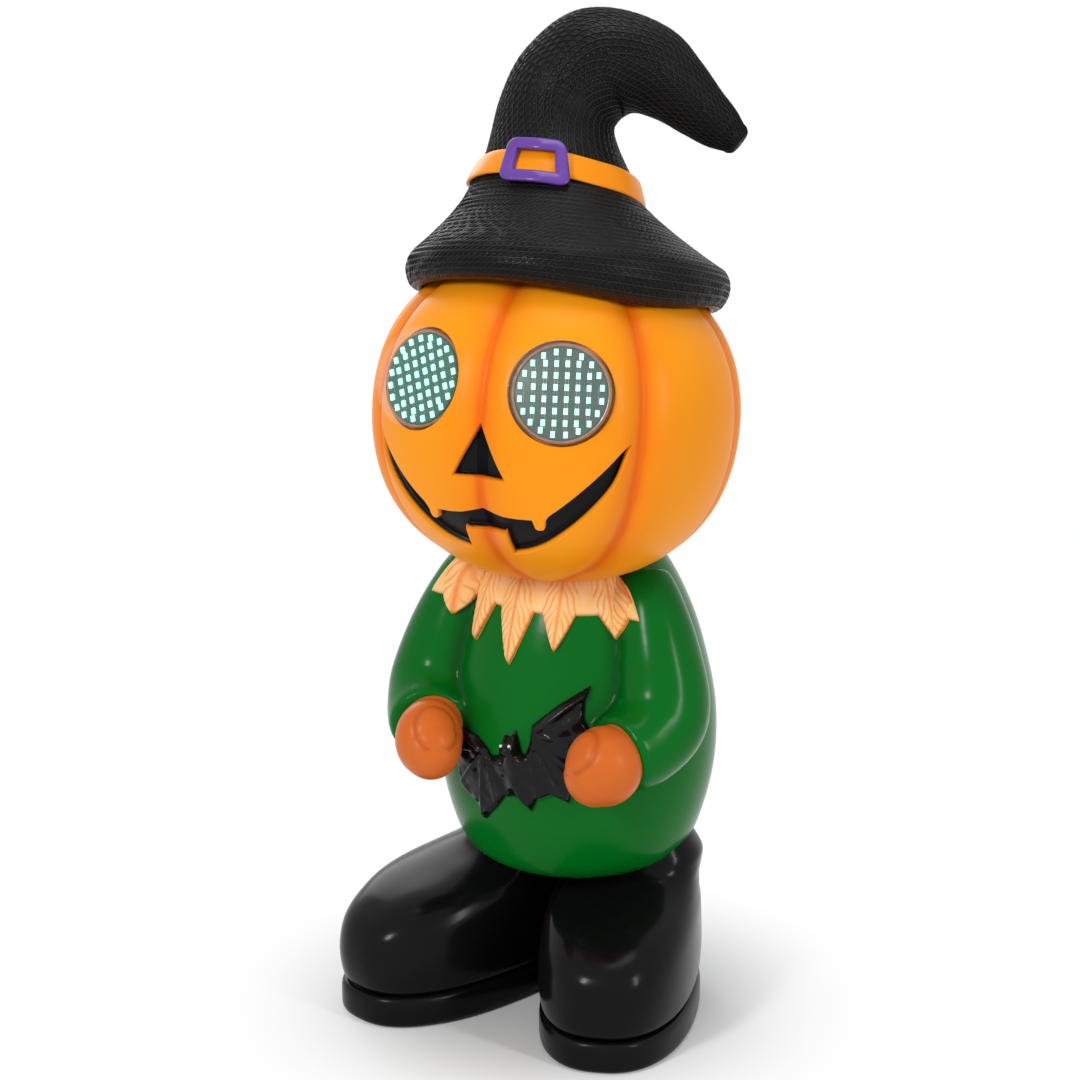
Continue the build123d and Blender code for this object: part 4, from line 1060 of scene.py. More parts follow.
    def build(self, shop: Workshop) -> None:
        """Builds the head's skin and dresses the liners behind it.

        Args:
            shop: Takes the finished piece.
        """
        bm = bmesh.new()
        bmesh.ops.create_icosphere(bm, subdivisions=6, radius=1.0)
        for groove, feature in ((11.0, 7.0), (7.5, 4.0), (0.0, 2.2), (0.0, 1.1)):
            def wanted(way: np.ndarray, groove: float = groove, feature: float = feature) -> np.ndarray:
                """Places that need a finer mesh."""
                place, _, across = self.egg(way)
                near = np.abs(self.face_gap(place)) < feature
                if feature > 1.5:
                    near |= self.eye_gap_at(place) < feature
                return near | (across < groove)
            refine(bm, wanted)
        obj = draft(bm)
        place, normal, across = self.egg(positions(obj.data))
        gap = self.face_gap(place)
        depth = smoothstep(self.lip_edge * 0.5, -self.lip_edge, gap)
        place = place - normal * (depth * self.recess)[:, None]
        for eye in self.eyes:
            place = self._bore(place, eye)
        move_to(obj.data, place)
        # Darker red-orange along the grooves: partly the airbrushed tint, partly painted shade in the
        # grooves.
        groove_tint_and_shade = 0.6 * hump(across, 3.6) + 0.4 * hump(across, 16.0)
        noise = 0.08 * np.sin(place[:, 2] * 0.21 + place[:, 0] * 0.13) * np.cos(place[:, 1] * 0.17)
        paint_mask(obj.data, "groove_tint_and_shade", np.clip(groove_tint_and_shade + noise * groove_tint_and_shade, 0, 0.85))
        paint_mask(obj.data, "dark", smoothstep(0.35, 0.6, depth))
        shop.finish(obj, "head_skin", [Coat.PUMPKIN], ["head_shell"], 60)
        shop.paints.dress_node("mouth_liner", Coat.LINER)
        shop.paints.dress_node("nose_liner", Coat.LINER)

    def _bore(self, place: np.ndarray, eye: Eye) -> np.ndarray:
        """Sinks the skin inside one eye's rim to the floor of its seat.

        Args:
            place: Places on the skin.
            eye: The eye.
        Returns:
            The places with the seat sunk in.
        """
        outer = np.array(eye.frame())
        inner = np.array(eye.frame().inverted())
        local = place @ inner[:3, :3].T + inner[:3, 3]
        ring = np.hypot(local[:, 0], local[:, 1])
        rim = eye.lens_radius + self.eye_gap
        front = local[:, 2] > -25
        snap = np.where((ring <= rim) & (ring > rim - 0.55), rim, ring)
        snap = np.where((ring > rim) & (ring < rim + 0.5), rim + 0.06, snap)
        scale = np.where(front & (ring > 1), snap / np.maximum(ring, 1e-6), 1.0)
        local[:, :2] *= scale[:, None]
        sunk = front & (ring <= rim)
        local[sunk, 2] = self.eye_floor
        return local @ outer[:3, :3].T + outer[:3, 3]


# ---------------------------------------------------------------- hat
@dataclass
class Hat:
    """The woven hat: rolled brim, cone and curled crown, with its band and buckle.

    A section is across the curl, behind it, height, radius, lean into the curl and tilt to the back.

    Attributes:
        origin: Middle of the hat's foot.
        pitch: How far it leans back, in degrees.
        flop: Direction of the curl.
        around: Corners of the crown's sections.
        rim: Widest section of the brim.
        rim_top: Section where the brim's roll ends.
        knee: Section where the brim turns into the cone.
        band_low: Section at the band's foot.
        band_high: Section at the band's top.
        crown: Sections above the band.
        thread: Height of the raised threads.
        droop: How far the brim hangs where it droops most.
        droop_at: Direction of that place.
        droop_spread: How wide the droop is, in degrees.
        band_half: Half the band's height.
        band_thick: Thickness of the band.
        buckle_turn: Direction of the buckle from the front.
    """

    origin: tuple[float, float, float] = (0.0, 10.0, 441.0)
    pitch: float = 18.0
    flop: float = 20.0
    around: int = 288
    rim: Section = (-1.5, 0.0, 2.0, 93.0, -3.0, 0.0)
    rim_top: Section = (-1.5, 0.0, 14.0, 89.5, -3.0, 0.0)
    knee: Section = (-7.0, 2.0, 31.0, 68.0, -3.0, 3.0)
    band_low: Section = (-14.5, 5.0, 51.0, 49.5, -3.0, 7.0)
    band_high: Section = (-15.0, 7.0, 65.0, 44.0, 0.0, 7.0)
    crown: tuple[Section, ...] = (
        (-19.5, 9, 81, 37.5, -3, 7), (-20.5, 11, 98.5, 34.3, 8, 6), (-14.5, 12, 116, 34, 33, 4),
        (2, 12, 131.5, 33, 62, 0), (29, 12, 130, 26.8, 108, 0), (47, 12, 120.5, 20.8, 124, 0),
        (62, 12, 110, 16.5, 125, 0), (74, 12, 102.3, 13.3, 123, 0), (82, 12, 97.6, 9.5, 121, 0))
    # cells of the weave round the first and last ring of a skin, and height of a row of cells
    crown_cells: Point = (62.0, 26.0)
    crown_row: float = 4.1
    brim_cells: Point = (168.0, 96.0)
    brim_row: float = 3.6
    thread: float = 0.8
    droop: float = 6.0
    droop_at: float = -42.0
    droop_spread: float = 38.0
    band_half: float = 7.8
    band_thick: float = 3.4
    buckle_turn: float = 8.0

    def local(self) -> Matrix:
        """From the hat's own frame to the working frame."""
        return Matrix.Translation(self.origin) @ Matrix.Rotation(math.radians(-self.pitch), 4, "X")

    def place(self, section: Sequence[float]) -> Matrix:
        """The frame of one section, with +Z along the line that the crown follows.

        Args:
            section: The section; its radius isn't used.
        Returns:
            The frame in the working frame.
        """
        across, behind, up, _, lean, back = section
        flop = Matrix.Rotation(math.radians(self.flop), 4, "Z")
        centre = flop @ Vector((across, behind, up))
        leaned = flop @ Matrix.Rotation(math.radians(lean), 4, "Y")
        turned = Matrix.Rotation(math.radians(-back), 4, "X") @ leaned
        return self.local() @ Matrix.Translation(centre) @ turned

    def station(self, section: Sequence[float]) -> Matrix:
        """The matrix that carries a unit circle to one section."""
        radius = section[3]
        return self.place(section) @ Matrix.Diagonal((radius, radius, radius, 1))

    def build(self, shop: Workshop) -> None:
        """Builds the hat in two skins that meet under the band, then the band and buckle.

        Args:
            shop: Takes the finished pieces.
        """
        self._crown(shop)
        self._brim(shop)
        self._band(shop)
        self._buckle(shop)

    def _weave(self, obj: bpy.types.Object, stations: Sequence[Matrix], counts: Point, row: float,
               diagonal: bool) -> np.ndarray:
        """Raises woven threads on a lofted skin and stores their pattern for the finish.

        Args:
            obj: The skin, ring by ring.
            stations: Its stations.
            counts: Cells round the first ring and round the last one.
            row: Height of a row of cells.
            diagonal: Whether the threads cross at a slant.
        Returns:
            For each vertex its length along the skin.
        """
        mesh = obj.data
        co = positions(mesh)
        rings = len(stations)
        around = len(co) // rings
        gaps = [0.0]
        for before, after in zip(stations, stations[1:]):
            step = (after.translation - before.translation).length
            gaps.append(math.hypot(step, after.to_scale().x - before.to_scale().x))
        along = np.cumsum(gaps)
        middle = np.array([station.translation for station in stations])
        pattern = np.zeros((len(co), 2))
        for ring, station in enumerate(stations):
            part = slice(ring * around, (ring + 1) * around)
            inverse = np.array(station.inverted())
            local = co[part] @ inverse[:3, :3].T + inverse[:3, 3]
            share = along[ring] / along[-1]
            number = counts[0] + (counts[1] - counts[0]) * share
            u = (np.arctan2(local[:, 1], local[:, 0]) + math.pi / 2) % (2 * math.pi) / (2 * math.pi) - 0.5
            u = np.abs(u) * number
            v = np.full(around, along[ring] / row)
            pattern[part] = np.stack([u + v / 2, u - v / 2] if diagonal else [u, v], axis=1)
            away = np.abs(pattern[part] - np.round(pattern[part]))
            height = np.maximum(hump(away[:, 0], 0.17), hump(away[:, 1], 0.17))
            height = np.maximum(height, 0.7 * np.clip(4 * away[:, 0] * away[:, 1], 0, 1) ** 2)
            out = co[part] - middle[ring]
            out /= np.maximum(np.linalg.norm(out, axis=1), 1e-6)[:, None]
            co[part] += out * ((height - 0.6) * self.thread)[:, None]
        move_to(mesh, co)
        carried = mesh.attributes.new("weave", "FLOAT_VECTOR", "POINT")
        rows = np.column_stack([pattern, np.zeros(len(co))])
        carried.data.foreach_set("vector", rows.astype(np.float32).ravel())
        return np.repeat(along, around)

    def _crown(self, shop: Workshop) -> None:
        """The crown from inside the band to the rounded tip.

        Args:
            shop: Takes the finished piece.
        """
        line = smooth_line([self.band_low, self.band_high] + list(self.crown), 262)
        tip = line[-1]
        lean = math.radians(tip[4])
        rounded = []
        for angle in (16, 32, 46, 58, 69, 78, 85):
            turn = math.radians(angle)
            reach = tip[3] * 0.62 * math.sin(turn)
            pulled = 0.3 * smoothstep(60, 85, np.array(float(angle)))
            radius = tip[3] * max(0.38 + 0.62 * math.cos(turn) - pulled, 0.1)
            rounded.append((tip[0] + reach * math.sin(lean), tip[1], tip[2] + reach * math.cos(lean), radius,
                            tip[4], tip[5]))
        stations = [self.station(row) for row in list(line) + rounded]
        bm = bmesh.new()
        loft(bm, circle(self.around), stations)
        obj = draft(bm)
        self._weave(obj, stations, self.crown_cells, self.crown_row, True)
        paint_mask(obj.data, "under", np.zeros(len(obj.data.vertices)))
        shop.finish(obj, "hat_crown", [Coat.HAT], ["hat_shell"], 80)

    def _brim(self, shop: Workshop) -> None:
        """The cone under the band and the rolled brim, closed underneath.

        Args:
            shop: Takes the finished piece.
        """
        across, behind, _, _, lean, back = self.rim
        roll = ((-2.0, 76.0), (-6.6, 80.5), (-8.0, 85.0), (-5.6, 90.0), (2.0, 93.0), (9.0, 92.4),
                (14.0, 89.5))
        under = smooth_line([(across, behind, up, radius, lean, back) for up, radius in roll], 40)
        cone = smooth_line([self.rim_top, (-3.8, 0.8, 21.5, 79.5, -3, 1.3), self.knee,
                            (-10.5, 3.4, 40.5, 58.0, -3, 5), self.band_low,
                            (-14.8, 6.2, 59.0, 46.6, -1, 7)], 76)
        rows = list(under) + list(cone[1:])
        stations = [self.station(row) for row in rows]
        bm = bmesh.new()
        count = self.around * 2
        loft(bm, circle(count), stations)
        obj = draft(bm)
        along = self._weave(obj, stations, self.brim_cells, self.brim_row, False)
        co = positions(obj.data)
        flat = np.array(self.local().inverted())
        own = co @ flat[:3, :3].T + flat[:3, 3]
        azimuth = np.degrees(np.arctan2(own[:, 1], own[:, 0]))
        low = 1 - smoothstep(8.0, 34.0, along)
        sag = self.droop * hump(azimuth - self.droop_at, self.droop_spread)
        ripple = 3.6 * hump(azimuth + 95.0, 30.0) + 0.7 * np.sin(np.radians(azimuth) * 5 + 0.6)
        own[:, 2] += (ripple - sag) * low
        back = np.array(self.local())
        move_to(obj.data, own @ back[:3, :3].T + back[:3, 3])
        paint_mask(obj.data, "under", 1 - smoothstep(15.0, 18.5, along))
        shop.finish(obj, "hat_brim", [Coat.HAT], ["hat_shell"], 80)

    def _band_section(self, share: float) -> np.ndarray:
        """The section of the crown at a share of the way up the band's stretch."""
        low, high = np.array(self.band_low), np.array(self.band_high)
        return low + (high - low) * share

    def _band(self, shop: Workshop) -> None:
        """The smooth band round the crown's foot, a little uneven as a hand-made master is.

        Args:
            shop: Takes the finished piece.
        """
        middle = self._band_section(0.5)
        slope = (self.band_high[3] - self.band_low[3]) / (self.band_high[2] - self.band_low[2])
        section = [(self.band_thick / 2 * u + 1.5, self.band_half * v) for u, v in oblong(28, 0.55, 0.55)]
        rows = []
        steps = 180
        for index in range(steps):
            turn = 2 * math.pi * index / steps
            wave = 0.45 * math.sin(3 * turn + 0.6) + 0.25 * math.sin(7 * turn)
            radial = Vector((math.cos(turn), math.sin(turn), 0))
            matrix = Matrix(((radial.x, slope * radial.x, -radial.y, radial.x * middle[3]),
                             (radial.y, slope * radial.y, radial.x, radial.y * middle[3]),
                             (0, 1, 0, wave), (0, 0, 0, 1)))
            rows.append(self.place(middle) @ matrix)
        bm = bmesh.new()
        loft(bm, section, rows, closed=True)
        shop.finish(draft(bm), "hat_band_ring", [Coat.BAND], ["hat_band"])

    def _buckle(self, shop: Workshop) -> None:
        """The square buckle, bent round the band.

        Args:
            shop: Takes the finished piece.
        """
        wide, tall, bar, thick, corner = 37.5, 27.5, 7.4, 4.6, 5.0
        path = []
        for sx, sy, start in ((1, -1, -90), (1, 1, 0), (-1, 1, 90), (-1, -1, 180)):
            for step in range(7):
                turn = math.radians(start + step * 15)
                path.append(Vector((sx * (wide - bar - corner) / 2 + corner * 0.5 * math.cos(turn),
                                    sy * (tall - bar - corner) / 2 + corner * 0.5 * math.sin(turn), 0)))
        dense = []
        for here, after in zip(path, path[1:] + path[:1]):
            count = max(int((after - here).length / 1.2), 1)
            dense += [here.lerp(after, k / count) for k in range(count)]
        rows = []
        for before, here, after in zip(dense[-1:] + dense[:-1], dense, dense[1:] + dense[:1]):
            way = (after - before).normalized()
            side = Vector((way.y, -way.x, 0))
            rows.append(Matrix(((side.x, 0, way.x, here.x), (side.y, 0, way.y, here.y), (0, 1, 0, 0),
                                (0, 0, 0, 1))))
        section = [(bar / 2 * u, thick / 2 * v) for u, v in oblong(24, 0.6, 0.62)]
        bm = bmesh.new()
        loft(bm, section, rows, closed=True)
        obj = draft(bm)
        co = positions(obj.data)
        middle = self._band_section(0.5)
        # Darker purple on the outer edges of the buckle's lower half.
        lower_outer_edge_dark = smoothstep(wide / 2 - 1.4, wide / 2 - 0.2, np.abs(co[:, 0])) * (co[:, 1] < 0)
        reach = middle[3] + 4.6
        skew = co[:, 0] * (1 - 0.004 * co[:, 1]) - 0.14 * co[:, 1]
        out = reach + 1.2 + co[:, 2] + 0.35 * np.sin(co[:, 0] * 0.3 + 1) - 0.3 * co[:, 1]
        turn = skew / reach - math.pi / 2 + math.radians(self.buckle_turn - self.flop)
        ring = np.stack([out * np.cos(turn), out * np.sin(turn), co[:, 1]], axis=1)
        matrix = np.array(self.place(middle))
        move_to(obj.data, ring @ matrix[:3, :3].T + matrix[:3, 3])
        paint_mask(obj.data, "lower_outer_edge_dark", lower_outer_edge_dark)
        bm = bmesh.new()
        bm.from_mesh(obj.data)
        bmesh.ops.recalc_face_normals(bm, faces=bm.faces)
        bm.to_mesh(obj.data)
        bm.free()
        shop.finish(obj, "hat_buckle_frame", [Coat.BUCKLE], ["hat_buckle"])


# ---------------------------------------------------------------- body
@dataclass
class Body:
    """The glossy trunk with its two sleeves and the battery pad at its back."""

    axis_y: float = 24.0
    profile: tuple[Point, ...] = ((30, 88), (54, 92), (68, 102), (76, 121), (81.5, 144), (83.5, 166),
                                  (82.3, 190), (77.5, 214), (70, 240), (59, 265), (47, 284), (36, 296))
    # middle line of the +X sleeve: x, y, z, radius
    sleeve: tuple[tuple[float, ...], ...] = (
        (51, 2, 277, 15), (57, -4, 262, 20), (66, -11, 234, 25), (72, -19, 203, 28.5), (68, -38, 189, 26),
        (60, -56, 186, 23))
    voxel: float = 1.7
    relax: int = 40
    pad_half: float = 36.0
    pad_low: float = 122.0
    pad_high: float = 216.0
    pad_y: float = 101.0
    # half width, front, foot and top of the battery bay and of the switch's slot
    bay: tuple[float, ...] = (26.3, 78.0, 129.7, 190.3)
    slot: tuple[float, ...] = (4.0, 92.0, 201.1, 204.9)
    tree: BVHTree | None = field(default=None, repr=False)

    def _egg(self, bm: Solid) -> None:
        """Adds the turned trunk.

        Args:
            bm: The mesh that receives it.
        """
        side = smooth_line(self.profile, 60)
        verts = [bm.verts.new((0, 0, side[0][1]))]
        verts += [bm.verts.new((r, 0, z)) for r, z in side]
        verts.append(bm.verts.new((0, 0, side[-1][1])))
        edges = [bm.edges.new(pair) for pair in zip(verts, verts[1:])]
        bmesh.ops.spin(bm, geom=verts + edges, cent=(0, 0, 0), axis=(0, 0, 1), angle=2 * math.pi, steps=128,
                       use_merge=True)
        bmesh.ops.remove_doubles(bm, verts=bm.verts, dist=0.01)
        bmesh.ops.recalc_face_normals(bm, faces=bm.faces)
        bmesh.ops.translate(bm, verts=bm.verts, vec=(0, self.axis_y, 0))

    def _sleeve(self, bm: Solid, side: Side) -> None:
        """Adds one sleeve.

        Args:
            bm: The mesh that receives it.
            side: Which sleeve.
        """
        line = smooth_line(self.sleeve, 40)
        stations = []
        for index, (x, y, z, radius) in enumerate(line):
            before = Vector(line[max(index - 1, 0)][:3])
            after = Vector(line[min(index + 1, len(line) - 1)][:3])
            way = (after - before).normalized()
            turned = way.to_track_quat("Z", "Y").to_matrix().to_4x4()
            size = Matrix.Diagonal((radius, radius, radius, 1))
            stations.append(Matrix.Translation((x, y, z)) @ turned @ size)
        if side is Side.RIGHT:
            flip = Matrix.Diagonal((-1, 1, 1, 1))
            stations = [flip @ station for station in stations]
        loft(bm, circle(48), stations)

    def build(self, shop: Workshop) -> None:
        """Builds the trunk's skin.

        Args:
            shop: Takes the finished piece.
        """
        bm = bmesh.new()
        self._egg(bm)
        for side in Side:
            arm = bmesh.new()
            self._sleeve(arm, side)
            spare = bpy.data.meshes.new("sleeve")
            arm.to_mesh(spare)
            arm.free()
            bm.from_mesh(spare)
            bpy.data.meshes.remove(spare)
        obj = draft(bm)
        fuse(obj, self.voxel, self.relax)
        self._pad(obj)
        mesh = obj.data
        place = positions(mesh)
        # Painted shade: darker green in the folds between the sleeves and the trunk.
        paint_mask(mesh, "crease", self._fold_shade(place))
        polygons = [tuple(polygon.vertices) for polygon in mesh.polygons]
        self.tree = BVHTree.FromPolygons([tuple(v) for v in place], polygons)
        shop.finish(obj, "body_skin", [Coat.GREEN], ["body_shell"], 50)

    def _fold_shade(self, place: np.ndarray) -> np.ndarray:
        """How deep in the fold between sleeve and trunk each place lies, as the share of painted shade that
        darkens the green there.

        Args:
            place: Places on the skin.
        Returns:
            Shares from 0 to 1.
        """
        ring = np.hypot(place[:, 0], place[:, 1] - self.axis_y)
        side = smooth_line(self.profile, 60)
        trunk = np.interp(place[:, 2], side[:, 1], side[:, 0])
        line = smooth_line(self.sleeve, 40)
        spot = place.copy()
        spot[:, 0] = np.abs(spot[:, 0])
        gap = np.full(len(place), 1e9)
        for x, y, z, radius in line:
            gap = np.minimum(gap, np.linalg.norm(spot - np.array([x, y, z]), axis=1) - radius)
        near = hump(np.abs(ring - trunk), 6.0) * hump(np.abs(gap), 6.0)
        return np.clip(near * 0.6 * (place[:, 2] < 285), 0, 1)

    def _pad(self, obj: bpy.types.Object) -> None:
        """Flattens the back for the battery bezel, and opens the bay and the switch's slot.

        Args:
            obj: The trunk.
        """
        bm = bmesh.new()
        box_solid(bm, (-self.pad_half, self.pad_y - 16, self.pad_low),
                  (self.pad_half, self.pad_y + 30, self.pad_high))
        carve(obj, draft(bm))
        bm = bmesh.new()
        box_solid(bm, (-self.pad_half - 0.2, self.pad_y - 18, self.pad_low - 0.2),
                  (self.pad_half + 0.2, self.pad_y, self.pad_high + 0.2))
        carve(obj, draft(bm), "UNION")
        bm = bmesh.new()
        for half, front, foot, top in (self.bay, self.slot):
            box_solid(bm, (-half, front, foot), (half, self.pad_y + 19, top))
        carve(obj, draft(bm))


@dataclass
class Hand:
    """One closed fist with its crease.

    Attributes:
        side: Which fist.
        middle: Its middle on the +X side.
        wide: Its width as a share of its radius.
        radius: Its radius.
        voxel: Size of the skin's cells.
    """

    side: Side
    middle: tuple[float, float, float] = (57.3, -68.0, 183.0)
    wide: float = 1.03
    radius: float = 21.5
    voxel: float = 0.9
    # the crease is where the skin meets a ball: its place from the middle, radius share, depth and width
    ball: tuple[float, float, float] = (-14.0, -14.0, 14.0)
    ball_share: float = 0.72
    crease_depth: float = 0.7
    crease_width: float = 2.2

    def build(self, shop: Workshop) -> None:
        """Builds the fist as one moulded skin.

        Args:
            shop: Takes the finished piece.
        """
        bm = bmesh.new()
        blobs = (((0, 0, 0), (self.wide, 1.0, 1.08)), ((-3.5, -4.5, -3.0), (0.84, 0.84, 0.92)),
                 ((4, 14, 4), (0.8, 0.9, 0.85)))
        for (x, y, z), (sx, sy, sz) in blobs:
            place = Matrix.Translation((x, y, z))
            size = Matrix.Diagonal((sx * self.radius, sy * self.radius, sz * self.radius, 1))
            bmesh.ops.create_icosphere(bm, subdivisions=5, radius=1.0, matrix=place @ size)
        mirror = Matrix.Diagonal((self.side.value, 1, 1, 1))
        x, y, z = self.middle
        moved = Matrix.Translation((self.side.value * x, y, z)) @ mirror
        bmesh.ops.transform(bm, matrix=moved, verts=bm.verts)
        bmesh.ops.recalc_face_normals(bm, faces=bm.faces)
        obj = draft(bm)
        fuse(obj, self.voxel, 6)
        place = positions(obj.data)
        thumb = np.array([self.side.value * (x + self.ball[0]), y + self.ball[1], z + self.ball[2]])
        away = np.abs(np.linalg.norm(place - thumb, axis=1) - self.ball_share * self.radius)
        sink = self.crease_depth * hump(away, self.crease_width)
        move_to(obj.data, place - normals(obj.data) * sink[:, None])
        # Painted shade: darker brown along the fist's crease.
        paint_mask(obj.data, "crease", 0.4 * hump(away, 1.8) * (np.linalg.norm(
            place - np.array([self.side.value * x, y, z]), axis=1) < self.radius * 1.08))
        shop.finish(obj, self.side.word + "_fist", [Coat.HAND], [self.side.word + "_hand"])


# ---------------------------------------------------------------- collar and bat
@dataclass
class Collar:
    """Five pointed leaves under the chin, lying on the shoulders."""

    body: Body
    # each leaf: direction of its root and of its tip round the trunk, height of its tip, half width
    leaves: tuple[tuple[float, ...], ...] = (
        (-51, -46, 247.6, 8.5), (-36, -32, 236, 11.5), (-11.5, -8.5, 228.5, 12.8), (15, 12.5, 238.5, 12.8),
        (40, 42.5, 245.2, 12.0))
    top: float = 277.0
    # the ring: direction of its ends round the trunk, its foot and its top
    ring_turns: Point = (-57.0, 50.0)
    ring_foot: float = 258.0
    ring_top: float = 280.0
    thick: float = 4.0

    def drop(self, turn: float, u: float, z: float, lift: float) -> Vector | None:
        """The point over the trunk where a leaf lies.

        Args:
            turn: The leaf's direction round the trunk, in degrees from the front.
            u: Distance across from the leaf's middle.
            z: Height.
            lift: Distance off the skin.
        Returns:
            The point, or nothing where the trunk isn't under the leaf.
        """
        around = Matrix.Rotation(math.radians(turn), 3, "Z")
        start = around @ Vector((u, -160, 0)) + Vector((0, self.body.axis_y, z))
        hit, normal, _, _ = self.body.tree.ray_cast(start, around @ Vector((0, 1, 0)))
        if hit is None:
            return None
        return hit + normal * lift

    def build(self, shop: Workshop) -> None:
        """Builds the leaves and the ring that they grow from."""
        for number, (root, turn, tip, half) in enumerate(self.leaves):
            self._leaf(shop, number, root, turn, tip, half)
        self._ring(shop)

    def _leaf(self, shop: Workshop, number: int, root: float, turn: float, tip: float, half: float) -> None:
        """One carved leaf.

        Args:
            shop: Takes the finished piece.
            number: Number of the leaf, which varies its veins.
            root: Direction of its root round the trunk, in degrees from the front.
            turn: Direction of its tip.
            tip: Height of its tip.
            half: Half its width.
        """
        columns, rows = 36, 60
        bm = bmesh.new()
        bmesh.ops.create_grid(bm, x_segments=columns, y_segments=rows, size=1.0)
        flat = list(bm.verts)
        grown = bmesh.ops.extrude_face_region(bm, geom=list(bm.faces), use_keep_orig=True)["geom"]
        raised = {item for item in grown if isinstance(item, bmesh.types.BMVert)}
        mask = {}
        for vert in flat + list(raised):
            gx, t = vert.co.x, (1 - vert.co.y) / 2
            width = half * min(1.0, 0.84 + 0.35 * t) * max(1 - max(t - 0.3, 0) / 0.7, 0) ** 0.85
            width = max(width, 1.0 * (1 - t) ** 0.5 + 0.35)
            u = gx * width
            z = self.top + (tip - self.top) * t
            edge = 1 - abs(gx) ** 5
            end = 1 - max(t - 0.93, 0) / 0.07
            lift = 0.1
            vein = 0.0
            if vert in raised:
                rib = math.exp(-(u / 0.9) ** 2)
                side = (z * 0.9 + abs(u) * 1.9 + number * 2.3 + 1.1 * math.sin(z * 0.5 + number)) / 6.4
                groove = math.exp(-((side % 1 - 0.5) / 0.13) ** 2) * (0.35 + 0.65 * min(abs(u) / 4, 1))
                vein = max(0.75 * rib, 0.8 * groove)
                crown = 0.9 * math.exp(-(u / (0.55 * half)) ** 2)
                body = self.thick - 1.2 + crown - 0.55 * groove - 0.5 * rib
                lift = 0.6 + body * math.sqrt(max(edge * end, 0.02))
                vein = min(1.0, vein + max(0.0, abs(gx) - 0.86) * 7 + max(0.0, t - 0.955) * 14)
            hit = self.drop(root + (turn - root) * t, u, z, lift)
            vert.co = hit if hit is not None else Vector((0, self.body.axis_y, z))
            mask[vert] = vein
        bmesh.ops.recalc_face_normals(bm, faces=bm.faces)
        order = [mask[vert] for vert in bm.verts]
        obj = draft(bm)
        paint_mask(obj.data, "vein", np.array(order))
        shop.finish(obj, f"collar_leaf_{number + 1}", [Coat.LEAF], ["leaf_collar"], 70)

    def _ring(self, shop: Workshop) -> None:
        """The band under the chin that joins the leaves.

        Args:
            shop: Takes the finished piece.
        """
        bm = bmesh.new()
        bmesh.ops.create_grid(bm, x_segments=110, y_segments=16, size=1.0)
        flat = list(bm.verts)
        grown = bmesh.ops.extrude_face_region(bm, geom=list(bm.faces), use_keep_orig=True)["geom"]
        raised = {item for item in grown if isinstance(item, bmesh.types.BMVert)}
        for vert in flat + list(raised):
            turn = self.ring_turns[0] + (self.ring_turns[1] - self.ring_turns[0]) * (vert.co.x + 1) / 2
            z = self.ring_foot + (self.ring_top - self.ring_foot) * (vert.co.y + 1) / 2
            edge = math.sqrt(max(1 - abs(vert.co.y) ** 6, 0.0) * max(1 - abs(vert.co.x) ** 40, 0.0) + 0.01)
            lift = 0.2 + 2.6 * edge if vert in raised else 0.0
            hit = self.drop(turn, 0.0, z, lift)
            vert.co = hit if hit is not None else Vector((0, self.body.axis_y, z))
        bmesh.ops.recalc_face_normals(bm, faces=bm.faces)
        obj = draft(bm)
        height = positions(obj.data)[:, 2] - self.ring_foot
        paint_mask(obj.data, "vein", 0.7 * (1 - smoothstep(0.0, 2.5, height)))
        shop.finish(obj, "collar_ring", [Coat.LEAF], ["leaf_collar"], 70)


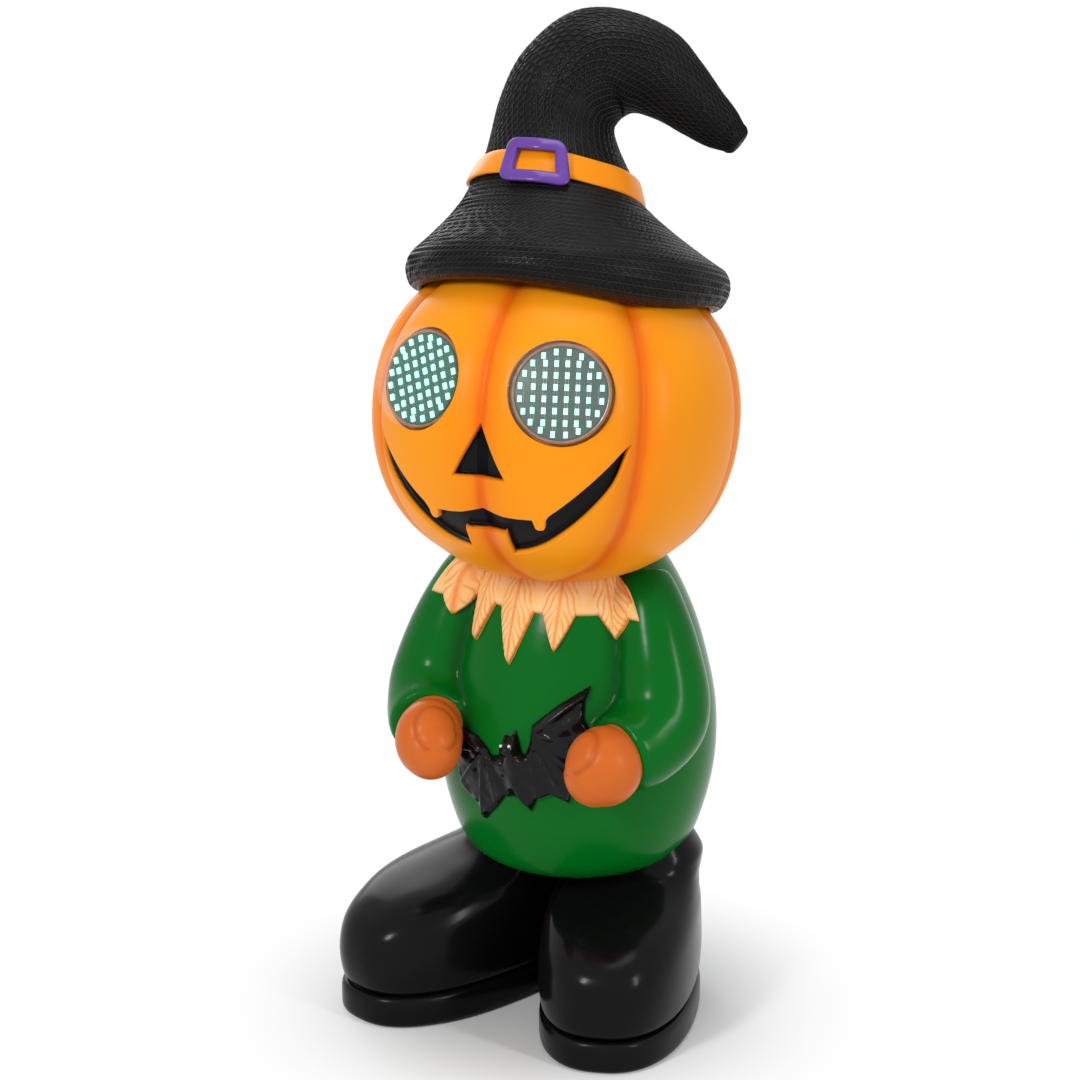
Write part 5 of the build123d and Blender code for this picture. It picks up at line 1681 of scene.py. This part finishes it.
@dataclass
class Bat:
    """The bat on the belly, held between the hands."""

    body: Body
    outline: tuple[Point, ...] = (
        (-58, 187), (-44, 186), (-29, 184), (-22, 179), (-18, 174.5), (-13, 176), (-11, 183), (-9.5, 189),
        (-6, 187.5), (-2.5, 192.5), (0, 186), (1.5, 180), (4, 178.5), (6.5, 186), (7.4, 197), (22, 210),
        (38, 221), (35.5, 212), (36, 202), (41, 193), (50, 188), (44, 176), (43, 164), (31, 160),
        (29, 151), (19, 156), (11, 152), (7, 143.5), (0, 152), (-9, 151), (-14, 144), (-25, 131.5),
        (-30, 142), (-41, 149), (-44, 163), (-54, 171))
    cell: float = 0.8
    # fingers of the wings: wrist, tip, height, width
    fingers: tuple[tuple[Point, Point, float, float], ...] = (
        ((7.4, 192), (38, 220), 2.6, 2.0), ((7.4, 192), (48, 188), 1.5, 1.5),
        ((7.4, 192), (43, 164), 1.7, 1.4),
        ((7.4, 192), (29, 152), 1.7, 1.4), ((7.4, 190), (12, 153), 1.3, 1.4),
        ((3, 176), (7.6, 194), 2.4, 2.4),
        ((-22, 178), (-57, 187), 2.4, 2.0), ((-22, 178), (-53, 171), 1.5, 1.4),
        ((-22, 178), (-41, 150), 1.7, 1.4),
        ((-22, 178), (-25, 133), 1.8, 1.5), ((-20, 176), (-14, 145), 1.3, 1.3),
        ((-10, 172), (-21, 179), 2.4, 2.2))

    def height(self, x: np.ndarray, z: np.ndarray, gap: np.ndarray) -> np.ndarray:
        """How far the bat's face stands off the belly.

        Args:
            x: Across.
            z: Up.
            gap: Distance inside the outline.
        Returns:
            Heights in millimetres.
        """
        face = 2.6 * np.ones(len(x))
        face += 0.9 * np.abs(np.sin(x * 0.21 + z * 0.13)) + 0.8 * np.abs(np.sin(x * 0.11 - z * 0.25 + 1.0))
        face += 0.4 * np.sin(x * 0.5 + 0.7 * np.sin(z * 0.3)) * np.cos(z * 0.41)
        for first, last, rise, width in self.fingers:
            away, share = segment_distance(x, z, first, last)
            bone = rise * (1 - 0.45 * share) * hump(away, width) + 1.4 * hump(away, width * 2)
            face = np.maximum(face, 2.0 + bone)
        trunk, share = segment_distance(x, z, (-4.5, 181), (3.5, 152))
        face += 4.2 * (1 - 0.55 * share) * hump(trunk, 5.2)
        head = np.hypot(x + 5.2, z - 182.5)
        face += 2.6 * hump(head, 5.0)
        return 0.3 + face * np.sqrt(smoothstep(-0.2, 2.6, gap) * 0.96 + 0.04)

    def build(self, shop: Workshop) -> None:
        """Builds the bat and its eyes.

        Args:
            shop: Takes the finished pieces.
        """
        corners = np.array(self.outline)
        low, high = corners.min(axis=0) - 1, corners.max(axis=0) + 1
        across, up = high - low
        bm = bmesh.new()
        columns, rows = int(across / self.cell), int(up / self.cell)
        bmesh.ops.create_grid(bm, x_segments=columns, y_segments=rows, size=0.5)
        middle = Matrix.Translation((*(low + high) / 2, 0))
        bmesh.ops.transform(bm, verts=bm.verts, matrix=middle @ Matrix.Diagonal((across, up, 1, 1)))
        flat = np.array([vert.co for vert in bm.verts])
        gap, foot = outline_distance(self.outline, flat[:, 0], flat[:, 1])
        bm.verts.index_update()
        near = self.cell * 0.62
        for vert, g, spot in zip(bm.verts, gap, foot):
            if abs(g) < near:
                vert.co = (spot[0], spot[1], 0)
        outside = [face for face in bm.faces if max(gap[vert.index] for vert in face.verts) >= near]
        bmesh.ops.delete(bm, geom=outside, context="FACES")
        bmesh.ops.dissolve_degenerate(bm, dist=0.02, edges=bm.edges)
        grown = bmesh.ops.extrude_face_region(bm, geom=list(bm.faces), use_keep_orig=True)["geom"]
        raised = {item for item in grown if isinstance(item, bmesh.types.BMVert)}
        flat = np.array([vert.co for vert in bm.verts])
        gap = -outline_distance(self.outline, flat[:, 0], flat[:, 1])[0]
        rise = self.height(flat[:, 0], flat[:, 1], gap)
        for vert, lift in zip(bm.verts, rise):
            vert.co = self.drop(vert.co.x, vert.co.y, lift if vert in raised else 0.15)
        bmesh.ops.recalc_face_normals(bm, faces=bm.faces)
        shop.finish(draft(bm), "bat_figure", [Coat.BAT], ["bat_ornament"], 60)
        bm = bmesh.new()
        for x, z in ((-7.6, 184.6), (-2.8, 185.3)):
            place = self.drop(x, z, 8.3)
            bmesh.ops.create_icosphere(bm, subdivisions=3, radius=0.95, matrix=Matrix.Translation(place))
        shop.finish(draft(bm), "bat_eyes", [Coat.BAT_EYE])

    def drop(self, x: float, z: float, lift: float) -> Vector:
        """The point over the belly at a place of the bat's flat pattern.

        Args:
            x: Across.
            z: Up.
            lift: Distance off the belly.
        Returns:
            The point.
        """
        hit, normal, _, _ = self.body.tree.ray_cast(Vector((x, -200, z)), Vector((0, 1, 0)))
        if hit is None:
            return Vector((x, 0, z))
        away = Vector((x, hit.y, z)) - Vector((0, self.body.axis_y, z))
        return hit + away.normalized() * lift


# ---------------------------------------------------------------- boots
@dataclass
class Boot:
    """One big rounded boot on its flat sole."""

    side: Side
    heel: tuple[float, float, float]
    leg: tuple[float, float]
    # upper sections: height, back, front, half width, how far moved over to the leg
    upper: tuple[tuple[float, ...], ...] = (
        (19, -4, -160, 42, 0), (24, -1, -165, 45, 0), (40, 0, -167, 46.5, 0), (56, 0, -163, 46, 0),
        (67, -1, -151, 45, 0), (75, -2, -133, 43, 0), (82, -4, -107, 39.5, 0.25), (89, -7, -84, 37, 0.65),
        (97, -11, -73, 34.5, 1.0), (106, -15, -70, 29.5, 1.0), (112, -18, -66, 25, 1.0))
    sole_length: float = 166.0
    sole_half: float = 46.0

    def section(self, z: float, back: float, front: float, half: float, moved: float,
                inset: float = 0.0) -> Matrix:
        """The matrix of one level section.

        Args:
            z: Height.
            back: Rear end along the foot.
            front: Front end along the foot.
            half: Half width.
            moved: Share by which it is moved over to the leg.
            inset: How much smaller it is all round.
        Returns:
            The matrix that carries a unit profile there.
        """
        x, y, splay = self.heel
        turn = math.radians(splay)
        middle = (back + front) / 2
        centre = (x - middle * math.sin(turn), y + middle * math.cos(turn))
        cx = centre[0] + (self.leg[0] - centre[0]) * moved
        cy = centre[1] + (self.leg[1] - centre[1]) * moved
        size = Matrix.Diagonal((half - inset, (back - front) / 2 - inset, 1, 1))
        return Matrix.Translation((cx, cy, z)) @ Matrix.Rotation(turn, 4, "Z") @ size

    def build(self, shop: Workshop) -> None:
        """Builds the upper with its welt and the sole.

        Args:
            shop: Takes the finished pieces.
        """
        profile = oblong(120, 0.82, 0.88)
        rows = [(19.2, -9, -156, 37, 0), (19.8, -6.2, -159, 40, 0)] + list(smooth_line(self.upper, 70))[1:]
        bm = bmesh.new()
        loft(bm, profile, [self.section(*row) for row in rows])
        word = self.side.word
        shop.finish(draft(bm), word + "_boot_upper", [Coat.BOOT], [word + "_boot"])
        levels = []
        for z, inset in ((0.0, 3.0), (0.4, 1.9), (1.3, 0.9), (2.6, 0.25), (5.0, 0.0), (9.5, 0.0), (14.0, 0.0),
                         (16.4, 0.35), (17.9, 1.2), (18.7, 2.3), (19.0, 3.6), (18.6, 4.8), (17.6, 5.8),
                         (17.6, 7.5)):
            levels.append(self.section(z, 0, -self.sole_length, self.sole_half, 0, inset))
        bm = bmesh.new()
        loft(bm, profile, levels)
        shop.finish(draft(bm), word + "_boot_sole", [Coat.SOLE], [word + "_sole"])


# ---------------------------------------------------------------- fittings and studio
def dress_fittings(paints: PaintShop) -> None:
    """Gives the battery compartment, the switch and the hidden pieces their finishes."""
    coats = {
        Coat.HIDDEN: ("battery_box", "battery_door", "neck_tube", "neck_nut"),
        Coat.STEEL: ("foot_bolts", "foot_nuts", "door_hinge_pin", "bezel_screws", "board_screws",
                     "switch_screws"),
        Coat.SPRING: ("battery_contacts",),
        Coat.CELL: ("battery_cells",),
        Coat.BOARD: ("controller_board",),
        Coat.CHIP: ("board_components", "switch_body"),
        Coat.KNOB: ("switch_knob",),
        Coat.CABLE: ("switch_lead", "battery_lead"),
    }
    for coat, nodes in coats.items():
        for node in nodes:
            paints.dress_node(node, coat)


@dataclass
class Studio:
    """Pale floor and backdrop, soft lamps, and the camera.

    Attributes:
        site: Where the working frame lies.
        azimuth: Direction of the camera from the front, in degrees.
        distance: Level distance of the camera from what it looks at.
        camera_height: Height of the camera.
        look_at: What it looks at.
        focal: Focal length in widths of a picture's element.
        picture: Width of the picture in the same unit.
        floor_radius: Radius of the floor in metres.
        shadow_radius: Where the floor starts to fade to white.
        white_radius: Where it has faded.
        world_strength: Strength of the world's light.
    """

    site: Site
    azimuth: float = 24.7
    distance: float = 1750.0
    camera_height: float = 807.0
    look_at: tuple[float, float, float] = (-14.1, 0.0, 290.0)
    focal: float = 3110.0
    picture: float = 1080.0
    floor_radius: float = 4.0
    shadow_radius: float = 0.07
    white_radius: float = 0.21
    world_strength: float = 0.36
    # name, place, power, size
    lamps: tuple[tuple[str, tuple[float, float, float], float, Point], ...] = (
        ("key", (-0.5, -1.9, 1.5), 24.0, (0.32, 0.6)), ("side", (2.0, -0.6, 1.1), 13.0, (0.2, 0.9)),
        ("top", (0.1, 0.1, 2.2), 12.0, (1.0, 1.0)), ("back", (-1.6, 1.4, 1.2), 9.0, (0.9, 1.4)))

    def build(self) -> None:
        """Sets up the whole studio."""
        self._camera()
        self._floor()
        self._lights()
        bpy.context.scene.view_settings.view_transform = "Standard"

    def _camera(self) -> None:
        """The camera at the figure's left front, a little above it."""
        data = bpy.data.cameras.new("camera")
        data.sensor_width = 36.0
        data.lens = 36.0 * self.focal / self.picture
        data.clip_end = 50.0
        camera = bpy.data.objects.new("camera", data)
        bpy.context.scene.collection.objects.link(camera)
        turn = math.radians(self.azimuth)
        target = self.site.point(*self.look_at)
        x, y, _ = self.look_at
        camera.location = self.site.point(x + self.distance * math.sin(turn),
                                          y - self.distance * math.cos(turn), self.camera_height)
        camera.rotation_euler = (target - camera.location).to_track_quat("-Z", "Y").to_euler()
        bpy.context.scene.camera = camera

    def _floor(self) -> None:
        """A pale floor that keeps the figure's shadow and fades to plain white further out."""
        bm = bmesh.new()
        bmesh.ops.create_circle(bm, cap_ends=True, segments=96, radius=self.floor_radius)
        bmesh.ops.translate(bm, verts=bm.verts, vec=(0, 0, -0.0005))
        mesh = bpy.data.meshes.new("floor")
        bm.to_mesh(mesh)
        bm.free()
        floor = bpy.data.objects.new("floor", mesh)
        bpy.context.scene.collection.objects.link(floor)
        material = bpy.data.materials.new("floor")
        material.use_nodes = True
        tree = material.node_tree
        shader = tree.nodes["Principled BSDF"]
        shader.inputs["Base Color"].default_value = (0.9, 0.9, 0.9, 1)
        shader.inputs["Roughness"].default_value = 0.9
        place = tree.nodes.new("ShaderNodeTexCoord").outputs["Object"]
        length = tree.nodes.new("ShaderNodeVectorMath")
        length.operation = "LENGTH"
        tree.links.new(place, length.inputs[0])
        fade = tree.nodes.new("ShaderNodeMapRange")
        fade.interpolation_type = "SMOOTHSTEP"
        fade.inputs["From Min"].default_value = self.shadow_radius
        fade.inputs["From Max"].default_value = self.white_radius
        tree.links.new(length.outputs["Value"], fade.inputs["Value"])
        factor = tree.nodes.new("ShaderNodeMath")
        factor.operation = "MULTIPLY"
        tree.links.new(fade.outputs["Result"], factor.inputs[0])
        tree.links.new(self._seen(tree), factor.inputs[1])
        white = tree.nodes.new("ShaderNodeEmission")
        white.inputs["Color"].default_value = (1, 1, 1, 1)
        white.inputs["Strength"].default_value = 1.0
        mix = tree.nodes.new("ShaderNodeMixShader")
        tree.links.new(factor.outputs[0], mix.inputs[0])
        tree.links.new(shader.outputs[0], mix.inputs[1])
        tree.links.new(white.outputs[0], mix.inputs[2])
        tree.links.new(mix.outputs[0], tree.nodes["Material Output"].inputs[0])
        mesh.materials.append(material)

    def _seen(self, tree: bpy.types.NodeTree) -> bpy.types.NodeSocket:
        """Tells the rays that show the surroundings from those that only light.

        Args:
            tree: The nodes of the floor or the world.
        Returns:
            1 for the camera, a mirror image or a clear piece, and 0 otherwise.
        """
        path = tree.nodes.new("ShaderNodeLightPath")
        first = tree.nodes.new("ShaderNodeMath")
        first.operation = "MAXIMUM"
        tree.links.new(path.outputs["Is Camera Ray"], first.inputs[0])
        tree.links.new(path.outputs["Is Glossy Ray"], first.inputs[1])
        second = tree.nodes.new("ShaderNodeMath")
        second.operation = "MAXIMUM"
        tree.links.new(first.outputs[0], second.inputs[0])
        tree.links.new(path.outputs["Is Transmission Ray"], second.inputs[1])
        return second.outputs[0]

    def _lights(self) -> None:
        """Soft lamps and a pale world."""
        world = bpy.data.worlds.new("studio")
        world.use_nodes = True
        bpy.context.scene.world = world
        tree = world.node_tree
        tree.nodes.clear()
        out = tree.nodes.new("ShaderNodeOutputWorld")
        mix = tree.nodes.new("ShaderNodeMixShader")
        lit = tree.nodes.new("ShaderNodeBackground")
        lit.inputs["Color"].default_value = (0.97, 0.98, 1.0, 1)
        lit.inputs["Strength"].default_value = self.world_strength
        seen = tree.nodes.new("ShaderNodeBackground")
        seen.inputs["Color"].default_value = (1, 1, 1, 1)
        seen.inputs["Strength"].default_value = 1.0
        tree.links.new(self._seen(tree), mix.inputs[0])
        tree.links.new(lit.outputs[0], mix.inputs[1])
        tree.links.new(seen.outputs[0], mix.inputs[2])
        tree.links.new(mix.outputs[0], out.inputs[0])
        for name, place, power, (wide, tall) in self.lamps:
            data = bpy.data.lights.new(name, "AREA")
            data.shape = "RECTANGLE"
            data.size = wide
            data.size_y = tall
            data.energy = power
            lamp = bpy.data.objects.new(name, data)
            bpy.context.scene.collection.objects.link(lamp)
            lamp.location = place
            lamp.rotation_euler = (Vector((0, 0, 0.3)) - lamp.location).to_track_quat("-Z", "Y").to_euler()


def main() -> None:
    """Builds every sub-assembly and the studio."""
    logging.basicConfig(level=logging.INFO, format="%(name)s: %(message)s")
    body = Body()
    site = Site.measured(body.axis_y)
    shop = Workshop(site, PaintShop())
    Studio(site).build()
    # The near eye's greyer board carries a painted reflection of its lens; the far eye's board is a deeper
    # green.
    eyes = [Eye(Side.LEFT), Eye(Side.RIGHT, turn=28.0, board=Coat.BOARD_WITHOUT_LENS_REFLECTION)]
    Head(eyes).build(shop)
    for eye in eyes:
        eye.build(shop)
    Hat().build(shop)
    body.build(shop)
    Hand(Side.LEFT).build(shop)
    Hand(Side.RIGHT, (54.0, -68.0, 183.0), 0.9).build(shop)
    Collar(body).build(shop)
    Bat(body).build(shop)
    Boot(Side.LEFT, (23.0, 74.0, 13.5), (42.5, 29.0)).build(shop)
    Boot(Side.RIGHT, (-34.5, 73.0, -22.5), (-35.0, 29.0)).build(shop)
    dress_fittings(shop.paints)


if __name__ == "__main__":
    main()
